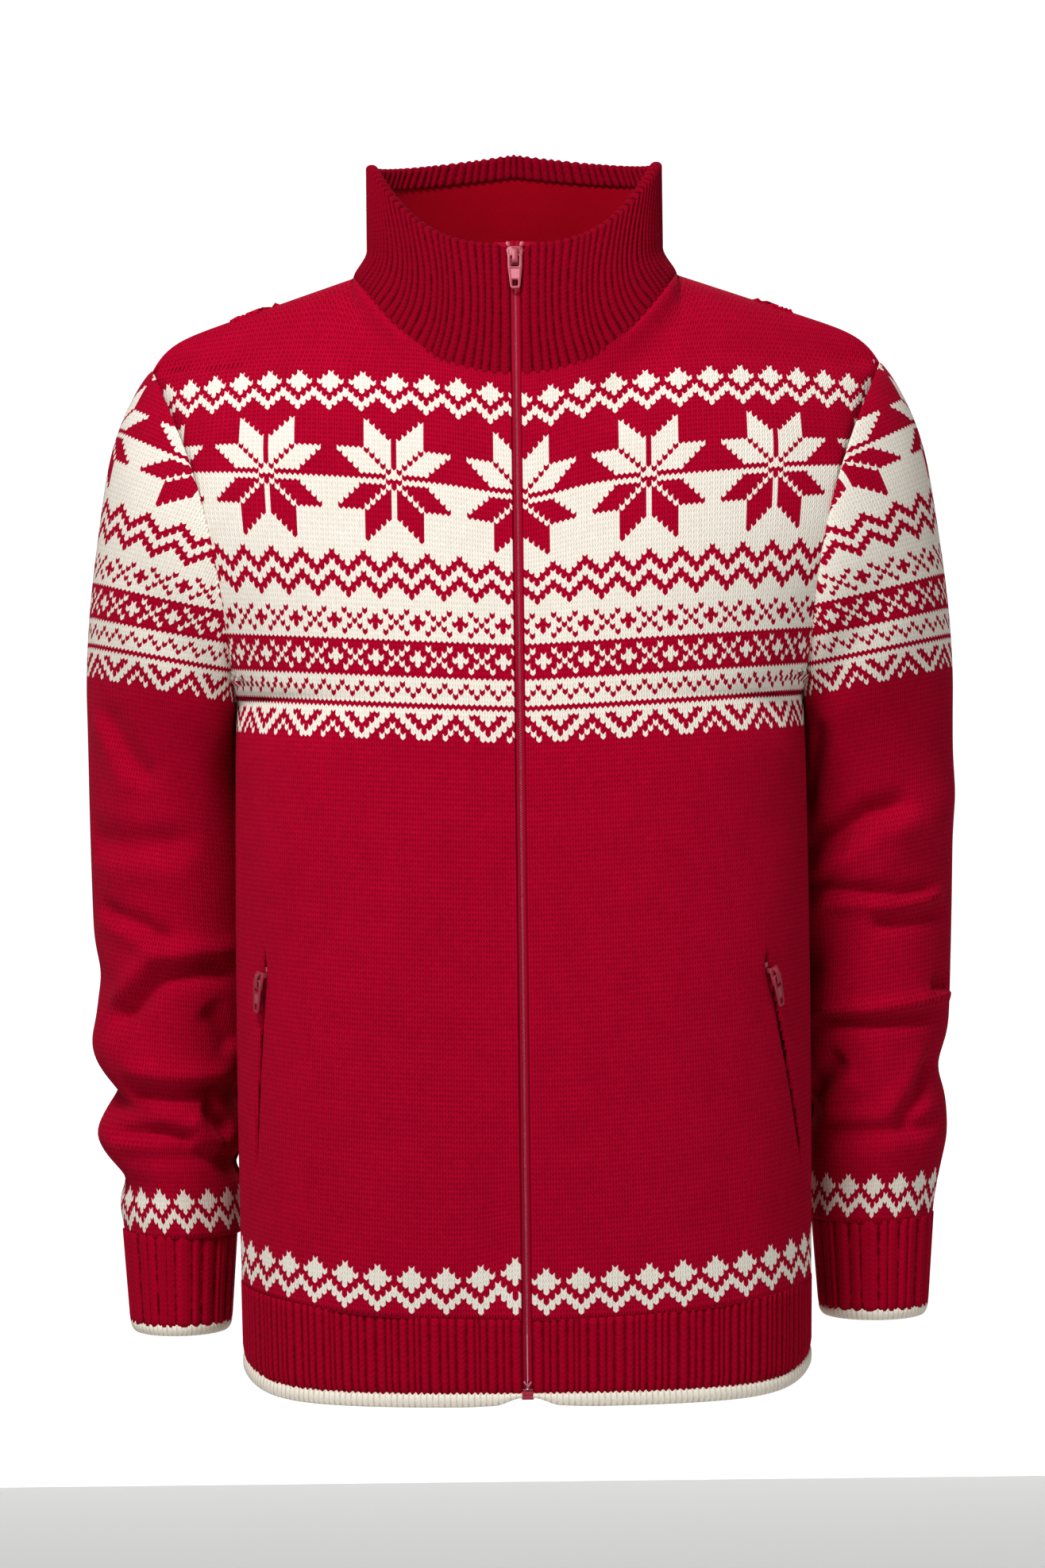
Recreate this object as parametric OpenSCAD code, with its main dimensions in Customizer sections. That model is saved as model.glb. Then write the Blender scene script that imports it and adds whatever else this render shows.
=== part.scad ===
// Knitted zip jacket with stand-up collar, shown worn shut with the arms hanging.
// Millimetres, +Z up. The wearer faces -Y; the wearer's right is -X.
// The origin is where the shoulders carry the jacket.

/* [Body] */
// Height of the shoulder line above the front hem
shoulder_height = 692; // [640:1:740]
// Half the width of the body below the arms
body_half_width = 178; // [150:1:210]
// Half the width over the shoulder tips
shoulder_half_width = 228; // [200:1:250]
// Height of the armpit above the hem
armpit_height = 430; // [400:1:460]
// Height of the shoulder tip above the hem
tip_height = 627; // [600:1:650]
// Depth of the back behind the middle of the body
back_depth = 98; // [80:1:120]
// Thickness of the knitted cloth
knit_thick = 2.6; // [2:0.1:4]

/* [Ribs and edges] */
// Height of the ribbed hem, light edge included
hem_rib_height = 57; // [40:1:80]
// Height of the light edge under the ribs
edge_height = 6.5; // [4:0.5:12]
// How far the side of the hem sits above its middle
hem_rise = 12; // [0:1:20]
// Height of the ribbed cuff, light edge included
cuff_height = 63.5; // [40:0.5:80]

/* [Collar] */
// Half the width of the neck opening at the seam
neck_half_width = 101; // [85:1:115]
// Half the width of the collar's top rim
rim_half_width = 92; // [75:1:110]
// Height of the collar seam at the zip
neck_front_height = 625; // [600:1:650]
// Height of the collar rim at the zip
rim_front_height = 704.5; // [690:0.5:730]
// Height of the collar rim at the back
rim_back_height = 772; // [740:1:800]

/* [Main zip] */
// Radius of the curve the front zip follows, seen from the side
zip_radius = 1699; // [1400:1:2400]
// Half the gap between the knitted edges along the front zip
zip_gap = 3.9; // [3.7:0.1:6]
// Lower end of the front zip's coil
coil_foot = 14; // [10:1:30]

/* [Pockets] */
// Half the gap between the knitted edges along a pocket zip
pocket_gap = 3.65; // [3.6:0.05:6]
// Height of the upper end of the pocket slots
pocket_top = 266; // [240:1:300]
// Height of the lower end of the pocket slots
pocket_foot = 138; // [110:1:170]
// Size of the pocket sliders against the front slider
pocket_slider_scale = 0.9; // [0.8:0.05:1]

/* [Hidden] */
$fn = 48;
gap = 0.2;                       // half the seam gap left between two sewn pieces
arc_z = 255.1;                   // height of the middle of the zip's curve
arc_y = 1568.4;                  // how far behind the body that middle lies
side_y = -8;                     // where front and back meet at the side
neck_curve = 2.4;                // how late the neck seam climbs from the zip to the shoulder
rim_curve = 3.8;                 // the same for the collar's rim
rim_drop = 12;                   // how far the rim falls from the back to its sides
armhole_mid = (tip_height + armpit_height) / 2;
armhole_half = (tip_height - armpit_height) / 2;
armhole_depth = 62;              // half the front-to-back opening of an armhole
zip_top = 709;                   // upper end of the front tapes
slider_height = 698.2;           // where the front slider sits when shut
lining_inset = 9;                // lining of the fronts lies behind the pocket bags
back_lining_inset = 8;
lining_thick = 1;
bag_inset = 3.5;
bag_thick = 2.4;
tape_thick = 0.7;
tape_foot = 8.6;                 // lower end of the front tapes, just above the box
tape_reach = 12.5;                 // outer edge of the front tapes from the middle
coil_in = 0.65;                  // the coil halves start this far from the middle
coil_out = 2.75;
coil_thick = 2.4;
tape_level = -3.2;               // front face of the tape, measured from the knit's face
function pocket_lift(s) = s < 0 ? 1.3 : 2.6;   // pocket zip above the chord of its slot
pocket_tape_level = -5;          // face of the pocket tapes below their lifted chord
sleeve_rows = 23;
sleeve_cols = 14;
cuff_cols = 16;

// ---------- small helpers ----------
function mix(a, b, t) = a + (b - a) * t;
function smooth(t) = let (c = max(0, min(1, t))) c * c * (3 - 2 * c);
function wrap(a) = a - 360 * round(a / 360);
function bell(d, w) = exp(-pow(d / w, 2));

// ---------- body surface ----------
function zip_y(z, inset) = arc_y - sqrt(pow(zip_radius - inset, 2) - pow(z - arc_z, 2));
function half_width(z) = z < armpit_height
  ? body_half_width + 2 * sin(180 * z / armpit_height)
  : body_half_width + 1.5 * smooth((z - armpit_height) / 40)
    + (shoulder_half_width - body_half_width - 1.5)
    * pow(min(1, (z - armpit_height) / (tip_height - armpit_height)), 2.2);
function armhole_y(z) = armhole_depth
  * sqrt(max(0, 1 - pow((z - armhole_mid) / armhole_half, 2)));
function squareness(z) = smooth((z - armpit_height + 45) / 90);
function edge_inset(z, inset) = inset * smooth((z - armpit_height + 2) / 12);
function top_z(x, back) = x < neck_half_width
  ? (back ? shoulder_height - 3 * (1 - pow(x / neck_half_width, 2))
          : mix(neck_front_height, shoulder_height, pow(x / neck_half_width, neck_curve)))
  : mix(shoulder_height, tip_height,
        slope((x - neck_half_width) / (shoulder_half_width - neck_half_width)));
// Fall of the shoulder line: straight, then round the shoulder tip
function slope(r) = 0.66 * r + 0.34 * pow(r, 14);
function neck_reach(x) = round_reach(x / neck_half_width);
function round_reach(r) = pow(max(0, 1 - pow(abs(r), 2.5)), 0.4);

// Point of the front at share u from the zip (0) to the side (1), height z
function front_pt(u, z, inset) =
  let (
    sq = squareness(z),
    wide = half_width(z) - inset * min(1, 2 - 2 * sq),
    x = zip_gap + (wide - zip_gap) * u,
    edge = side_y - armhole_y(z) + edge_inset(z, inset) - gap,
    cross = edge + (zip_y(z, inset) - edge) * pow(max(0, 1 - pow(u, 2.9)), mix(0.45, 0.9, sq)),
    xt = zip_gap + (shoulder_half_width - zip_gap) * u,
    zt = top_z(xt, false) - inset,
    w = max(0, min(1, (z - zt + 110) / 110)) * smooth(u / 0.3),
    neck = zip_y(neck_front_height, inset) - side_y,
    yt = side_y - gap + neck * neck_reach(xt)
  )
  [x, yt + (cross - yt) * sqrt(1 - w * w), z];

// Point of the back, u from -1 (wearer's right) to 1
function back_pt(u, z, inset) =
  let (
    sq = squareness(z),
    a = abs(u),
    x = (half_width(z) - inset * min(1, 2 - 2 * sq)) * u,
    edge = side_y + armhole_y(z) - edge_inset(z, inset) + gap,
    mid = back_depth + 14 * sin(180 * min(1, z / 640)) - inset,
    cross = edge + (mid - edge) * pow(max(0, 1 - pow(a, 2.4)), mix(0.45, 0.9, sq)),
    xt = shoulder_half_width * a,
    zt = top_z(xt, true) - inset,
    w = max(0, min(1, (z - zt + 150) / 150)),
    yt = side_y + gap + (60 - inset) * neck_reach(xt)
  )
  [x, yt + (cross - yt) * sqrt(1 - w * w), z];

// Rise of the hem towards the sides: hem_z for the line above the ribs, low_z for the lower edge
function hem_z(u) = hem_rise * pow(abs(u), 2);
function low_z(u) = hem_rise * pow(abs(u), 14);

// Columns: one falls on the neck point, the rest crowd to the side
neck_share = (neck_half_width - zip_gap) / (shoulder_half_width - zip_gap);
front_cols = [for (i = [0 : 3]) neck_share * i / 4,
              for (i = [0 : 7]) mix(neck_share, 1, 1 - pow(1 - i / 7, 1.4))];
back_neck = neck_half_width / shoulder_half_width;
back_half_cols = [for (i = [1 : 2]) back_neck * i / 3,
                  for (i = [0 : 5]) mix(back_neck, 1, 1 - pow(1 - i / 5, 1.4))];
back_cols = [for (i = [7 : -1 : 0]) -back_half_cols[i], 0, for (c = back_half_cols) c];
lining_cols = [0.04, 0.22, neck_share, 0.62, 0.8, 0.91, 0.97];
back_lining_cols = [-0.97, -0.85, -0.65, -back_neck, -0.2, 0.2, back_neck, 0.65, 0.85, 0.97];

// ---------- closed shells from grids ----------
// outer and inner are grids with rows of points; a ring joins its last column to its first
module shell(outer, inner, ring = false) {
  rows = len(outer);
  cols = len(outer[0]);
  total = rows * cols;
  last = ring ? cols - 1 : cols - 2;
  pts = concat([for (r = outer) for (p = r) p], [for (r = inner) for (p = r) p]);
  skin = [for (i = [0 : rows - 2]) for (j = [0 : last])
    let (a = i * cols + j, b = i * cols + (j + 1) % cols, c = a + cols, d = b + cols)
    each [[a, c, d], [a, d, b], [total + a, total + d, total + c], [total + a, total + b, total + d]]];
  ends = [for (j = [0 : last])
    let (b = (j + 1) % cols, t = (rows - 1) * cols)
    each [[j, b, total + b], [j, total + b, total + j],
          [t + j, total + t + b, t + b], [t + j, total + t + j, total + t + b]]];
  sides = ring ? [] : [for (i = [0 : rows - 2])
    let (a = i * cols, c = a + cols, e = a + cols - 1, f = c + cols - 1)
    each [[a, total + c, c], [a, total + a, total + c],
          [e, f, total + f], [e, total + f, total + e]]];
  polyhedron(points = pts, faces = concat(skin, ends, sides), convexity = 6);
}

function to_side(p, s) = [p[0] * s, p[1], p[2] - shoulder_height];

// Front grid from the line at height low up to the top seam
function front_grid(cols, rows, inset, s, low) =
  [for (i = [0 : rows])
    [for (k = [0 : len(cols) - 1])
      let (
        u = s > 0 ? cols[len(cols) - 1 - k] : cols[k],
        x = zip_gap + (shoulder_half_width - zip_gap) * u,
        z0 = low + hem_z(u),
        z1 = top_z(x, false) - inset
      )
      to_side(front_pt(u, mix(z0, z1, 1 - pow(1 - i / rows, 1.15)), inset), s)]];

function back_grid(cols, rows, inset, low) =
  [for (i = [0 : rows])
    [for (k = [0 : len(cols) - 1])
      let (
        u = cols[len(cols) - 1 - k],
        z0 = low + hem_z(1),
        z1 = top_z(abs(u) * shoulder_half_width, true) - inset
      )
      to_side(back_pt(-u, mix(z0, z1, 1 - pow(1 - i / rows, 1.3)), inset), 1)]];

// Rows of the linings: level lines below the arms, then shares of the way to the top seam
lining_levels = [0, 150, 290, 385, 415, 445, 480];
lining_shares = [0.4, 0.75, 1];
function lining_z(i, low, high) = i < 7
  ? (i == 0 ? low : lining_levels[i])
  : mix(lining_levels[6], high, lining_shares[i - 7]);
function front_lining_grid(inset, s) =
  [for (i = [0 : 9])
    [for (k = [0 : len(lining_cols) - 1])
      let (
        u = s > 0 ? lining_cols[len(lining_cols) - 1 - k] : lining_cols[k],
        high = top_z(zip_gap + (shoulder_half_width - zip_gap) * u, false) - inset - 5,
        z = lining_z(i, hem_rib_height + 1 + hem_z(u), high)
      )
      to_side(front_pt(u, z, inset), s)]];
function back_lining_grid(inset) =
  [for (i = [0 : 9])
    [for (k = [0 : len(back_lining_cols) - 1])
      let (
        u = back_lining_cols[k],
        high = top_z(abs(u) * shoulder_half_width, true) - inset - 5,
        z = lining_z(i, hem_rib_height + 1 + hem_rise, high)
      )
      to_side(back_pt(u, z, inset), 1)]];

// Straight bands round the hem between two heights above its lower edge
function front_band(inset, s, low, high) =
  [for (z = [low, high])
    [for (k = [0 : len(front_cols) - 1])
      let (
        u = s > 0 ? front_cols[len(front_cols) - 1 - k] : front_cols[k],
        rise = z > edge_height + 1 ? hem_z(u) : low_z(u)
      )
      to_side(front_pt(u, z + rise, inset), s)]];
function back_band(inset, low, high) =
  [for (z = [low, high])
    [for (k = [0 : len(back_cols) - 1])
      to_side(back_pt(back_cols[k], z + hem_z(1), inset), 1)]];

// ---------- sleeves ----------
cuff_top = 92.5;                 // height at which the cuff ribs begin, on average
function cuff_start(s) = cuff_top + 2.6 * s;
function outer_x(z) = z > armpit_height
  ? mix(shoulder_half_width, 277,
        pow(max(0, 1 - pow((z - armpit_height) / (tip_height - armpit_height), 1.7)), 0.62))
  : 277 - 9 * pow((armpit_height - z) / 305, 2);
function inner_x(t) = mix(mix(180.2, 172.5, smooth((t - 0.22) / 0.2)), 181, smooth((t - 0.6) / 0.4));

// Main folds of a sleeve: share of its length, angle round it (0 outside, 270 front),
// depth, spread along, spread round, slant
right_folds = [
  [0.36, 285, -5, 0.035, 70, 0.03], [0.55, 300, 4, 0.04, 60, 0],
  [0.60, 300, -5, 0.025, 60, -0.02], [0.70, 340, -5, 0.03, 40, -0.03],
  [0.72, 240, -7, 0.03, 45, 0.04], [0.78, 320, 6, 0.03, 60, 0],
  [0.835, 345, -12, 0.022, 55, -0.03], [0.80, 190, -8, 0.03, 40, 0],
  [0.885, 320, 6, 0.022, 60, 0], [0.90, 190, -7, 0.02, 40, 0],
  [0.935, 350, -9, 0.022, 60, -0.01], [0.15, 250, -5, 0.05, 50, 0.05]];
left_folds = [
  [0.45, 250, -8, 0.03, 60, -0.06], [0.52, 270, 5, 0.035, 80, -0.02],
  [0.57, 270, -5, 0.025, 70, -0.01], [0.63, 190, -8, 0.03, 35, 0],
  [0.69, 350, -5, 0.02, 40, 0], [0.73, 330, 4, 0.025, 60, 0],
  [0.765, 280, -6, 0.02, 90, -0.01], [0.82, 350, -6, 0.03, 45, 0],
  [0.84, 190, -7, 0.03, 40, 0], [0.90, 280, 4, 0.03, 70, 0],
  [0.945, 270, -4, 0.02, 90, 0], [0.15, 250, -5, 0.05, 50, 0.05]];
function fold(list, t, a) = [for (f = list) 1] * [for (f = list)
  f[2] * bell(t - f[0] - f[5] * wrap(a - f[1]) / 90, f[3]) * bell(wrap(a - f[1]), f[4])];

// Sleeve point at share t of its length and angle a; the right sleeve hangs a little longer
function sleeve_pt(t, a, inset, s) =
  let (
    low = cuff_start(s),
    oz = mix(tip_height, low, t),
    iz = mix(armpit_height, low - 2, pow(t, 1.35)),
    ox = outer_x(oz) - smooth((t - 0.9) / 0.1) * (s < 0 ? 10 : 5),
    ix = inner_x(t),
    half = [ox - ix, oz - iz] / 2,
    reach = norm(half),
    out = half / reach,
    f = fold(s < 0 ? right_folds : left_folds, t, a) * smooth(t / 0.1) * smooth((1.01 - t) / 0.04),
    k = reach - inset + f,
    z = (oz + iz) / 2 + out[1] * k * cos(a),
    hang = smooth(t / 0.45),
    y = mix(side_y, 46 - 4 * t, hang)
        + (armhole_depth - 17 * pow(t, 1.4) + 4 * sin(180 * t) - inset + f) * sin(a),
    seam_x = half_width(armhole_mid + armhole_half * cos(a)),
    straight_x = (shoulder_half_width + 180) / 2 + (shoulder_half_width - 180) / 2 * cos(a),
    x = (ox + ix) / 2 + out[0] * k * cos(a)
        + (seam_x - straight_x) * (1 - smooth(t / 0.25)) + 2 * gap
  )
  [x * s, y, z - shoulder_height];

function sleeve_grid(inset, s) =
  [for (i = [sleeve_rows : -1 : 0])
    [for (j = [0 : sleeve_cols - 1])
      let (t = i / sleeve_rows)
      sleeve_pt(mix(t, pow(t, 0.85), 0.6), -s * j * 360 / sleeve_cols, inset, s)]];

// Cuff ring, h is the height above the cuff's lower edge
function cuff_ring(h, inset, s) =
  [for (j = [0 : cuff_cols - 1])
    let (
      a = -s * j * 360 / cuff_cols,
      full = cuff_height,
      low = cuff_start(s) - full,
      centre = s < 0 ? 218.5 : 222,
      wide = (s < 0 ? 34 : 35.5) + 2.5 * h / full - inset
    )
    [s * (centre + wide * cos(a)),
     42 + (37 - inset + 3.5 * h / full) * sin(a),
     low + h - 2 * gap + 1 * cos(a) * h / full - shoulder_height]];

// ---------- collar ----------
collar_cols = 26;
function collar_pt(q, h, inset) =
  let (
    wide = mix(neck_half_width, rim_half_width, smooth(h / 0.27)) - inset,
    start = asin(zip_gap / wide),
    a = mix(start, 360 - start, q),
    seam = cos(a) > 0
      ? mix(neck_front_height, shoulder_height, pow(abs(sin(a)), neck_curve))
      : shoulder_height - 3 * pow(cos(a), 2),
    rim = cos(a) > 0
      ? mix(rim_front_height, rim_back_height - rim_drop, pow(abs(sin(a)), rim_curve))
      : rim_back_height - rim_drop * abs(sin(a)),
    z = mix(seam + 3 * gap, rim, h),
    y0 = mix(side_y, -6, h),
    zf = mix(neck_front_height, rim_front_height, h),
    deep = cos(a) > 0 ? zip_y(zf, inset) - y0 : mix(60, 52, h) - inset
  )
  [-wide * sin(a), y0 + deep * round_reach(sin(a)), z - shoulder_height];

function collar_grid(inset, h0, h1, rows, cols, q0 = 0) =
  [for (i = [0 : rows])
    [for (j = [0 : cols])
      collar_pt(mix(q0, 1 - q0, 1 - j / cols), mix(h0, h1, i / rows), inset)]];

// ---------- zip pieces ----------
// Strip that follows the front zip, from x0 to x1 and level n0 to n1 above the knit's face
module zip_strip(x0, x1, n0, n1, z0, z1) {
  b0 = asin((z0 - arc_z) / zip_radius);
  b1 = asin((z1 - arc_z) / zip_radius);
  translate([0, arc_y, arc_z - shoulder_height])
    rotate([0, 0, -90])
      rotate([90, 0, 0])
        rotate([0, 0, b0])
          rotate_extrude(angle = b1 - b0, $fn = 360)
            translate([zip_radius + n0, -x1])
              square([n1 - n0, x1 - x0]);
}

// Places a piece on the front zip at height z: x across, -y outwards, z along the zip
module on_front_zip(z) {
  translate([0, arc_y, arc_z - shoulder_height])
    rotate([-asin((z - arc_z) / zip_radius), 0, 0])
      translate([0, -zip_radius, 0])
        children();
}

// Slider: plate over the knit, neck through the gap, post between the coils, plate behind
module slider(tape, tape_gap) {
  flange_out = tape_gap - 0.35;
  flange_in = coil_out + 0.3;
  plate_y = -0.4;
  difference() {
    union() {
      translate([0, plate_y, 0])
        rotate([90, 0, 0])
          linear_extrude(height = 1.2)
            polygon([[-4, -6.2], [4, -6.2], [4.6, -1], [5.5, 4.2], [3.6, 6.2], [-3.6, 6.2],
                     [-5.5, 4.2], [-4.6, -1]]);
      for (s = [-1, 1])
        translate([s < 0 ? -flange_out : flange_in, plate_y, -4.5])
          cube([flange_out - flange_in, -plate_y - tape - 0.3, 9]);
      translate([-0.35, plate_y, 1.5])
        cube([0.7, -plate_y - tape + tape_thick + 1.5, 4]);
      translate([-4.4, tape_thick - tape + 1.15, -5.5])
        cube([8.8, 1.1, 11]);
      // bail over the pull's bar
      translate([-2, -4.4, -5.4])
        cube([4, 3, 11]);
    }
    translate([-3, -3.5, -3.9])
      cube([6, 1.9, 8]);
  }
}

// Pull tab hanging from its bar; the bar's middle is at the origin
module pull_tab() {
  bar = 0.65;
  difference() {
    union() {
      rotate([0, 90, 0])
        cylinder(h = 9, r = bar, center = true);
      difference() {
        translate([0, bar, 0])
          rotate([90, 0, 0])
            linear_extrude(height = 2 * bar)
              polygon([[-4.5, 0], [4.5, 0], [4.4, -8], [3, -20.6], [2, -22], [-2, -22],
                       [-3, -20.6], [-4.4, -8]]);
        translate([-2.7, -2, -7.6])
          cube([5.4, 4, 7.6 - bar]);
      }
    }
    translate([-1.65, -2, -19.8])
      cube([3.3, 4, 3.2]);
    for (s = [-1, 1])
      translate([-2.2, s < 0 ? -bar - 1 : bar - 0.25, -15.4])
        cube([4.4, 1.25, 6.4]);
  }
}

bar_out = 2.55;                  // bar above the knit's face
bar_up = 0.2;                    // bar above the middle of the slider

// ---------- pocket zips ----------
function pocket_x(s) = s < 0 ? [159, 166] : [149, 171];
function share_of(x, z) = (x - zip_gap) / (half_width(z) - zip_gap);
function pocket_end(s, top) =
  let (z = top ? pocket_top : pocket_foot, x = pocket_x(s)[top ? 0 : 1],
       p = front_pt(share_of(x, z), z, 0))
  [p[0] * s, p[1], p[2]];
function pocket_mid(s) = (pocket_end(s, true) + pocket_end(s, false)) / 2;
function pocket_dir(s) =
  let (d = pocket_end(s, true) - pocket_end(s, false)) d / norm(d);
function pocket_length(s) = norm(pocket_end(s, true) - pocket_end(s, false));
function pocket_yaw(s) =
  let (z = (pocket_top + pocket_foot) / 2, x = (pocket_x(s)[0] + pocket_x(s)[1]) / 2,
       a = front_pt(share_of(x - 3, z), z, 0), b = front_pt(share_of(x + 3, z), z, 0))
  s * atan2(b[1] - a[1], b[0] - a[0]);
function pocket_lean(s) =
  let (d = pocket_dir(s), g = pocket_yaw(s),
       across = d[0] * cos(g) + d[1] * sin(g), along = -d[0] * sin(g) + d[1] * cos(g))
  [-asin(along), atan2(across, d[2])];

module on_pocket(s) {
  m = pocket_mid(s);
  l = pocket_lean(s);
  translate([m[0], m[1], m[2] - shoulder_height])
    rotate([0, 0, pocket_yaw(s)])
      rotate([0, l[1], 0])
        rotate([l[0], 0, 0])
          translate([0, -pocket_lift(s), 0])
            children();
}

module pocket_slot(s) {
  on_pocket(s)
    translate([-pocket_gap, -12, -pocket_length(s) / 2])
      cube([2 * pocket_gap, 24, pocket_length(s)]);
}

function slider_seat(s) = pocket_length(s) / 2 - 9;

// ---------- sub-parts ----------
module front_panel(s) {
  color([0.62, 0.03, 0.12])
    difference() {
      shell(front_grid(front_cols, 20, 0, s, hem_rib_height + 2 * gap),
            front_grid(front_cols, 20, knit_thick, s, hem_rib_height + 2 * gap));
      pocket_slot(s);
    }
}
module right_front_panel() {
  front_panel(-1);
}
module left_front_panel() {
  front_panel(1);
}
module back_panel() {
  color([0.62, 0.03, 0.12])
    shell(back_grid(back_cols, 15, 0, hem_rib_height + 2 * gap),
          back_grid(back_cols, 15, knit_thick, hem_rib_height + 2 * gap));
}
module sleeve(s) {
  color([0.62, 0.03, 0.12])
    shell(sleeve_grid(0, s), sleeve_grid(knit_thick, s), true);
}
module right_sleeve() {
  sleeve(-1);
}
module left_sleeve() {
  sleeve(1);
}
module cuff_band(s, h0, h1) {
  shell([for (h = [h0, h1]) cuff_ring(h, 0, s)],
        [for (h = [h0, h1]) cuff_ring(h, knit_thick, s)], true);
}
module right_cuff_rib() {
  color([0.6, 0.02, 0.11])
    cuff_band(-1, edge_height + 2 * gap, cuff_height - 3);
}
module left_cuff_rib() {
  color([0.6, 0.02, 0.11])
    cuff_band(1, edge_height + 2 * gap, cuff_height - 3);
}
module right_cuff_edge() {
  color([0.93, 0.9, 0.82])
    cuff_band(-1, 0, edge_height);
}
module left_cuff_edge() {
  color([0.93, 0.9, 0.82])
    cuff_band(1, 0, edge_height);
}
module front_hem(s, low, high) {
  shell(front_band(0, s, low, high), front_band(knit_thick, s, low, high));
}
module right_front_hem_rib() {
  color([0.6, 0.02, 0.11])
    front_hem(-1, edge_height + 2 * gap, hem_rib_height);
}
module left_front_hem_rib() {
  color([0.6, 0.02, 0.11])
    front_hem(1, edge_height + 2 * gap, hem_rib_height);
}
module back_hem_rib() {
  color([0.6, 0.02, 0.11])
    shell(back_band(0, edge_height + 2 * gap, hem_rib_height),
          back_band(knit_thick, edge_height + 2 * gap, hem_rib_height));
}
module right_front_hem_edge() {
  color([0.93, 0.9, 0.82])
    front_hem(-1, 0, edge_height);
}
module left_front_hem_edge() {
  color([0.93, 0.9, 0.82])
    front_hem(1, 0, edge_height);
}
module back_hem_edge() {
  color([0.93, 0.9, 0.82])
    shell(back_band(0, 0, edge_height), back_band(knit_thick, 0, edge_height));
}
module collar() {
  color([0.62, 0.03, 0.12])
    shell(collar_grid(0, 0, 1, 3, collar_cols), collar_grid(knit_thick, 0, 1, 3, collar_cols));
}
module collar_lining() {
  inset = knit_thick + 1.5;
  color([0.5, 0.01, 0.08])
    shell(collar_grid(inset, 0.02, 0.84, 5, 18, 0.03),
          collar_grid(inset + lining_thick, 0.02, 0.84, 5, 18, 0.03));
}
module front_lining(s) {
  color([0.5, 0.01, 0.08])
    shell(front_lining_grid(lining_inset, s), front_lining_grid(lining_inset + lining_thick, s));
}
module right_front_lining() {
  front_lining(-1);
}
module left_front_lining() {
  front_lining(1);
}
module back_lining() {
  color([0.5, 0.01, 0.08])
    shell(back_lining_grid(back_lining_inset), back_lining_grid(back_lining_inset + lining_thick));
}
module right_zip_tape() {
  color([0.55, 0.03, 0.1])
    zip_strip(-tape_reach, -coil_out - 0.1, tape_level - tape_thick, tape_level, tape_foot, zip_top);
}
module left_zip_tape() {
  color([0.55, 0.03, 0.1])
    zip_strip(coil_out + 0.1, tape_reach, tape_level - tape_thick, tape_level, tape_foot, zip_top);
}
module front_coil(s) {
  mid = tape_level - tape_thick / 2;
  color([0.5, 0.05, 0.12])
    zip_strip(s < 0 ? -coil_out : coil_in, s < 0 ? -coil_in : coil_out,
              mid - coil_thick / 2, mid + coil_thick / 2, coil_foot, slider_height + 7.5);
}
module right_zip_coil() {
  front_coil(-1);
}
module left_zip_coil() {
  front_coil(1);
}
module top_stop(s) {
  color([0.8, 0.45, 0.5])
    on_front_zip(zip_top - 1.6)
      translate([s < 0 ? -3.7 : 1.5, -0.5, -0.4])
        cube([2.2, 3, 2.6]);
}
module right_top_stop() {
  top_stop(-1);
}
module left_top_stop() {
  top_stop(1);
}
module zip_insertion_pin() {
  color([0.8, 0.78, 0.76])
    on_front_zip(8)
      translate([1, 2.4, -1])
        cylinder(h = 6.5, r = 0.7);
}
module zip_retainer_box() {
  color([0.62, 0.05, 0.12])
    on_front_zip(5.5)
      difference() {
        translate([-3.7, 0.3, -2.6])
          cube([7.4, 4.6, 5.2]);
        translate([1, 2.4, -0.6])
          cylinder(h = 5, r = 1);
      }
}
module main_slider() {
  color([0.75, 0.16, 0.26])
    on_front_zip(slider_height)
      slider(tape_level, zip_gap);
}
module main_pull_tab() {
  color([0.78, 0.2, 0.3])
    on_front_zip(slider_height)
      translate([0, -bar_out, bar_up])
        pull_tab();
}
module pocket_bag(s) {
  c = [0.3, 0.45, 0.6, 0.72, 0.8];
  color([0.35, 0.02, 0.08])
    shell(bag_grid(c, bag_inset, s), bag_grid(c, bag_inset + bag_thick, s));
}
function bag_grid(cols, inset, s) =
  [for (i = [0 : 4])
    [for (k = [0 : len(cols) - 1])
      let (u = s > 0 ? cols[len(cols) - 1 - k] : cols[k], z = mix(96, pocket_top + 12, i / 4))
      to_side(front_pt(u * (s < 0 ? 1 : 0.97), z, inset), s)]];
module right_pocket_bag() {
  pocket_bag(-1);
}
module left_pocket_bag() {
  pocket_bag(1);
}
module pocket_tape(s) {
  long = pocket_length(s) - 2;
  color([0.45, 0.02, 0.08])
    on_pocket(s)
      for (m = [-1, 1])
        translate([m < 0 ? -7 : coil_out * 0.9 + 0.1, -pocket_tape_level, -long / 2])
          cube([6.9 - coil_out * 0.9, 0.6, long]);
}
module right_pocket_tape() {
  pocket_tape(-1);
}
module left_pocket_tape() {
  pocket_tape(1);
}
module pocket_coil(s) {
  long = pocket_length(s) - 8;
  k = pocket_slider_scale;
  color([0.4, 0.03, 0.1])
    on_pocket(s)
      for (m = [-1, 1])
        translate([m < 0 ? -coil_out * k : coil_in * k, -pocket_tape_level + 0.3 - k, -long / 2])
          cube([(coil_out - coil_in) * k, 2 * k, long]);
}
module right_pocket_coil() {
  pocket_coil(-1);
}
module left_pocket_coil() {
  pocket_coil(1);
}
module pocket_stop(s, end) {
  color([0.6, 0.1, 0.2])
    on_pocket(s)
      translate([-2.4, -pocket_tape_level - 0.8, end * (pocket_length(s) / 2 - 2.4) - 1.4])
        cube([4.8, 2.2, 2.8]);
}
module right_pocket_top_stop() {
  pocket_stop(-1, 1);
}
module left_pocket_top_stop() {
  pocket_stop(1, 1);
}
module right_pocket_foot_stop() {
  pocket_stop(-1, -1);
}
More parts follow.
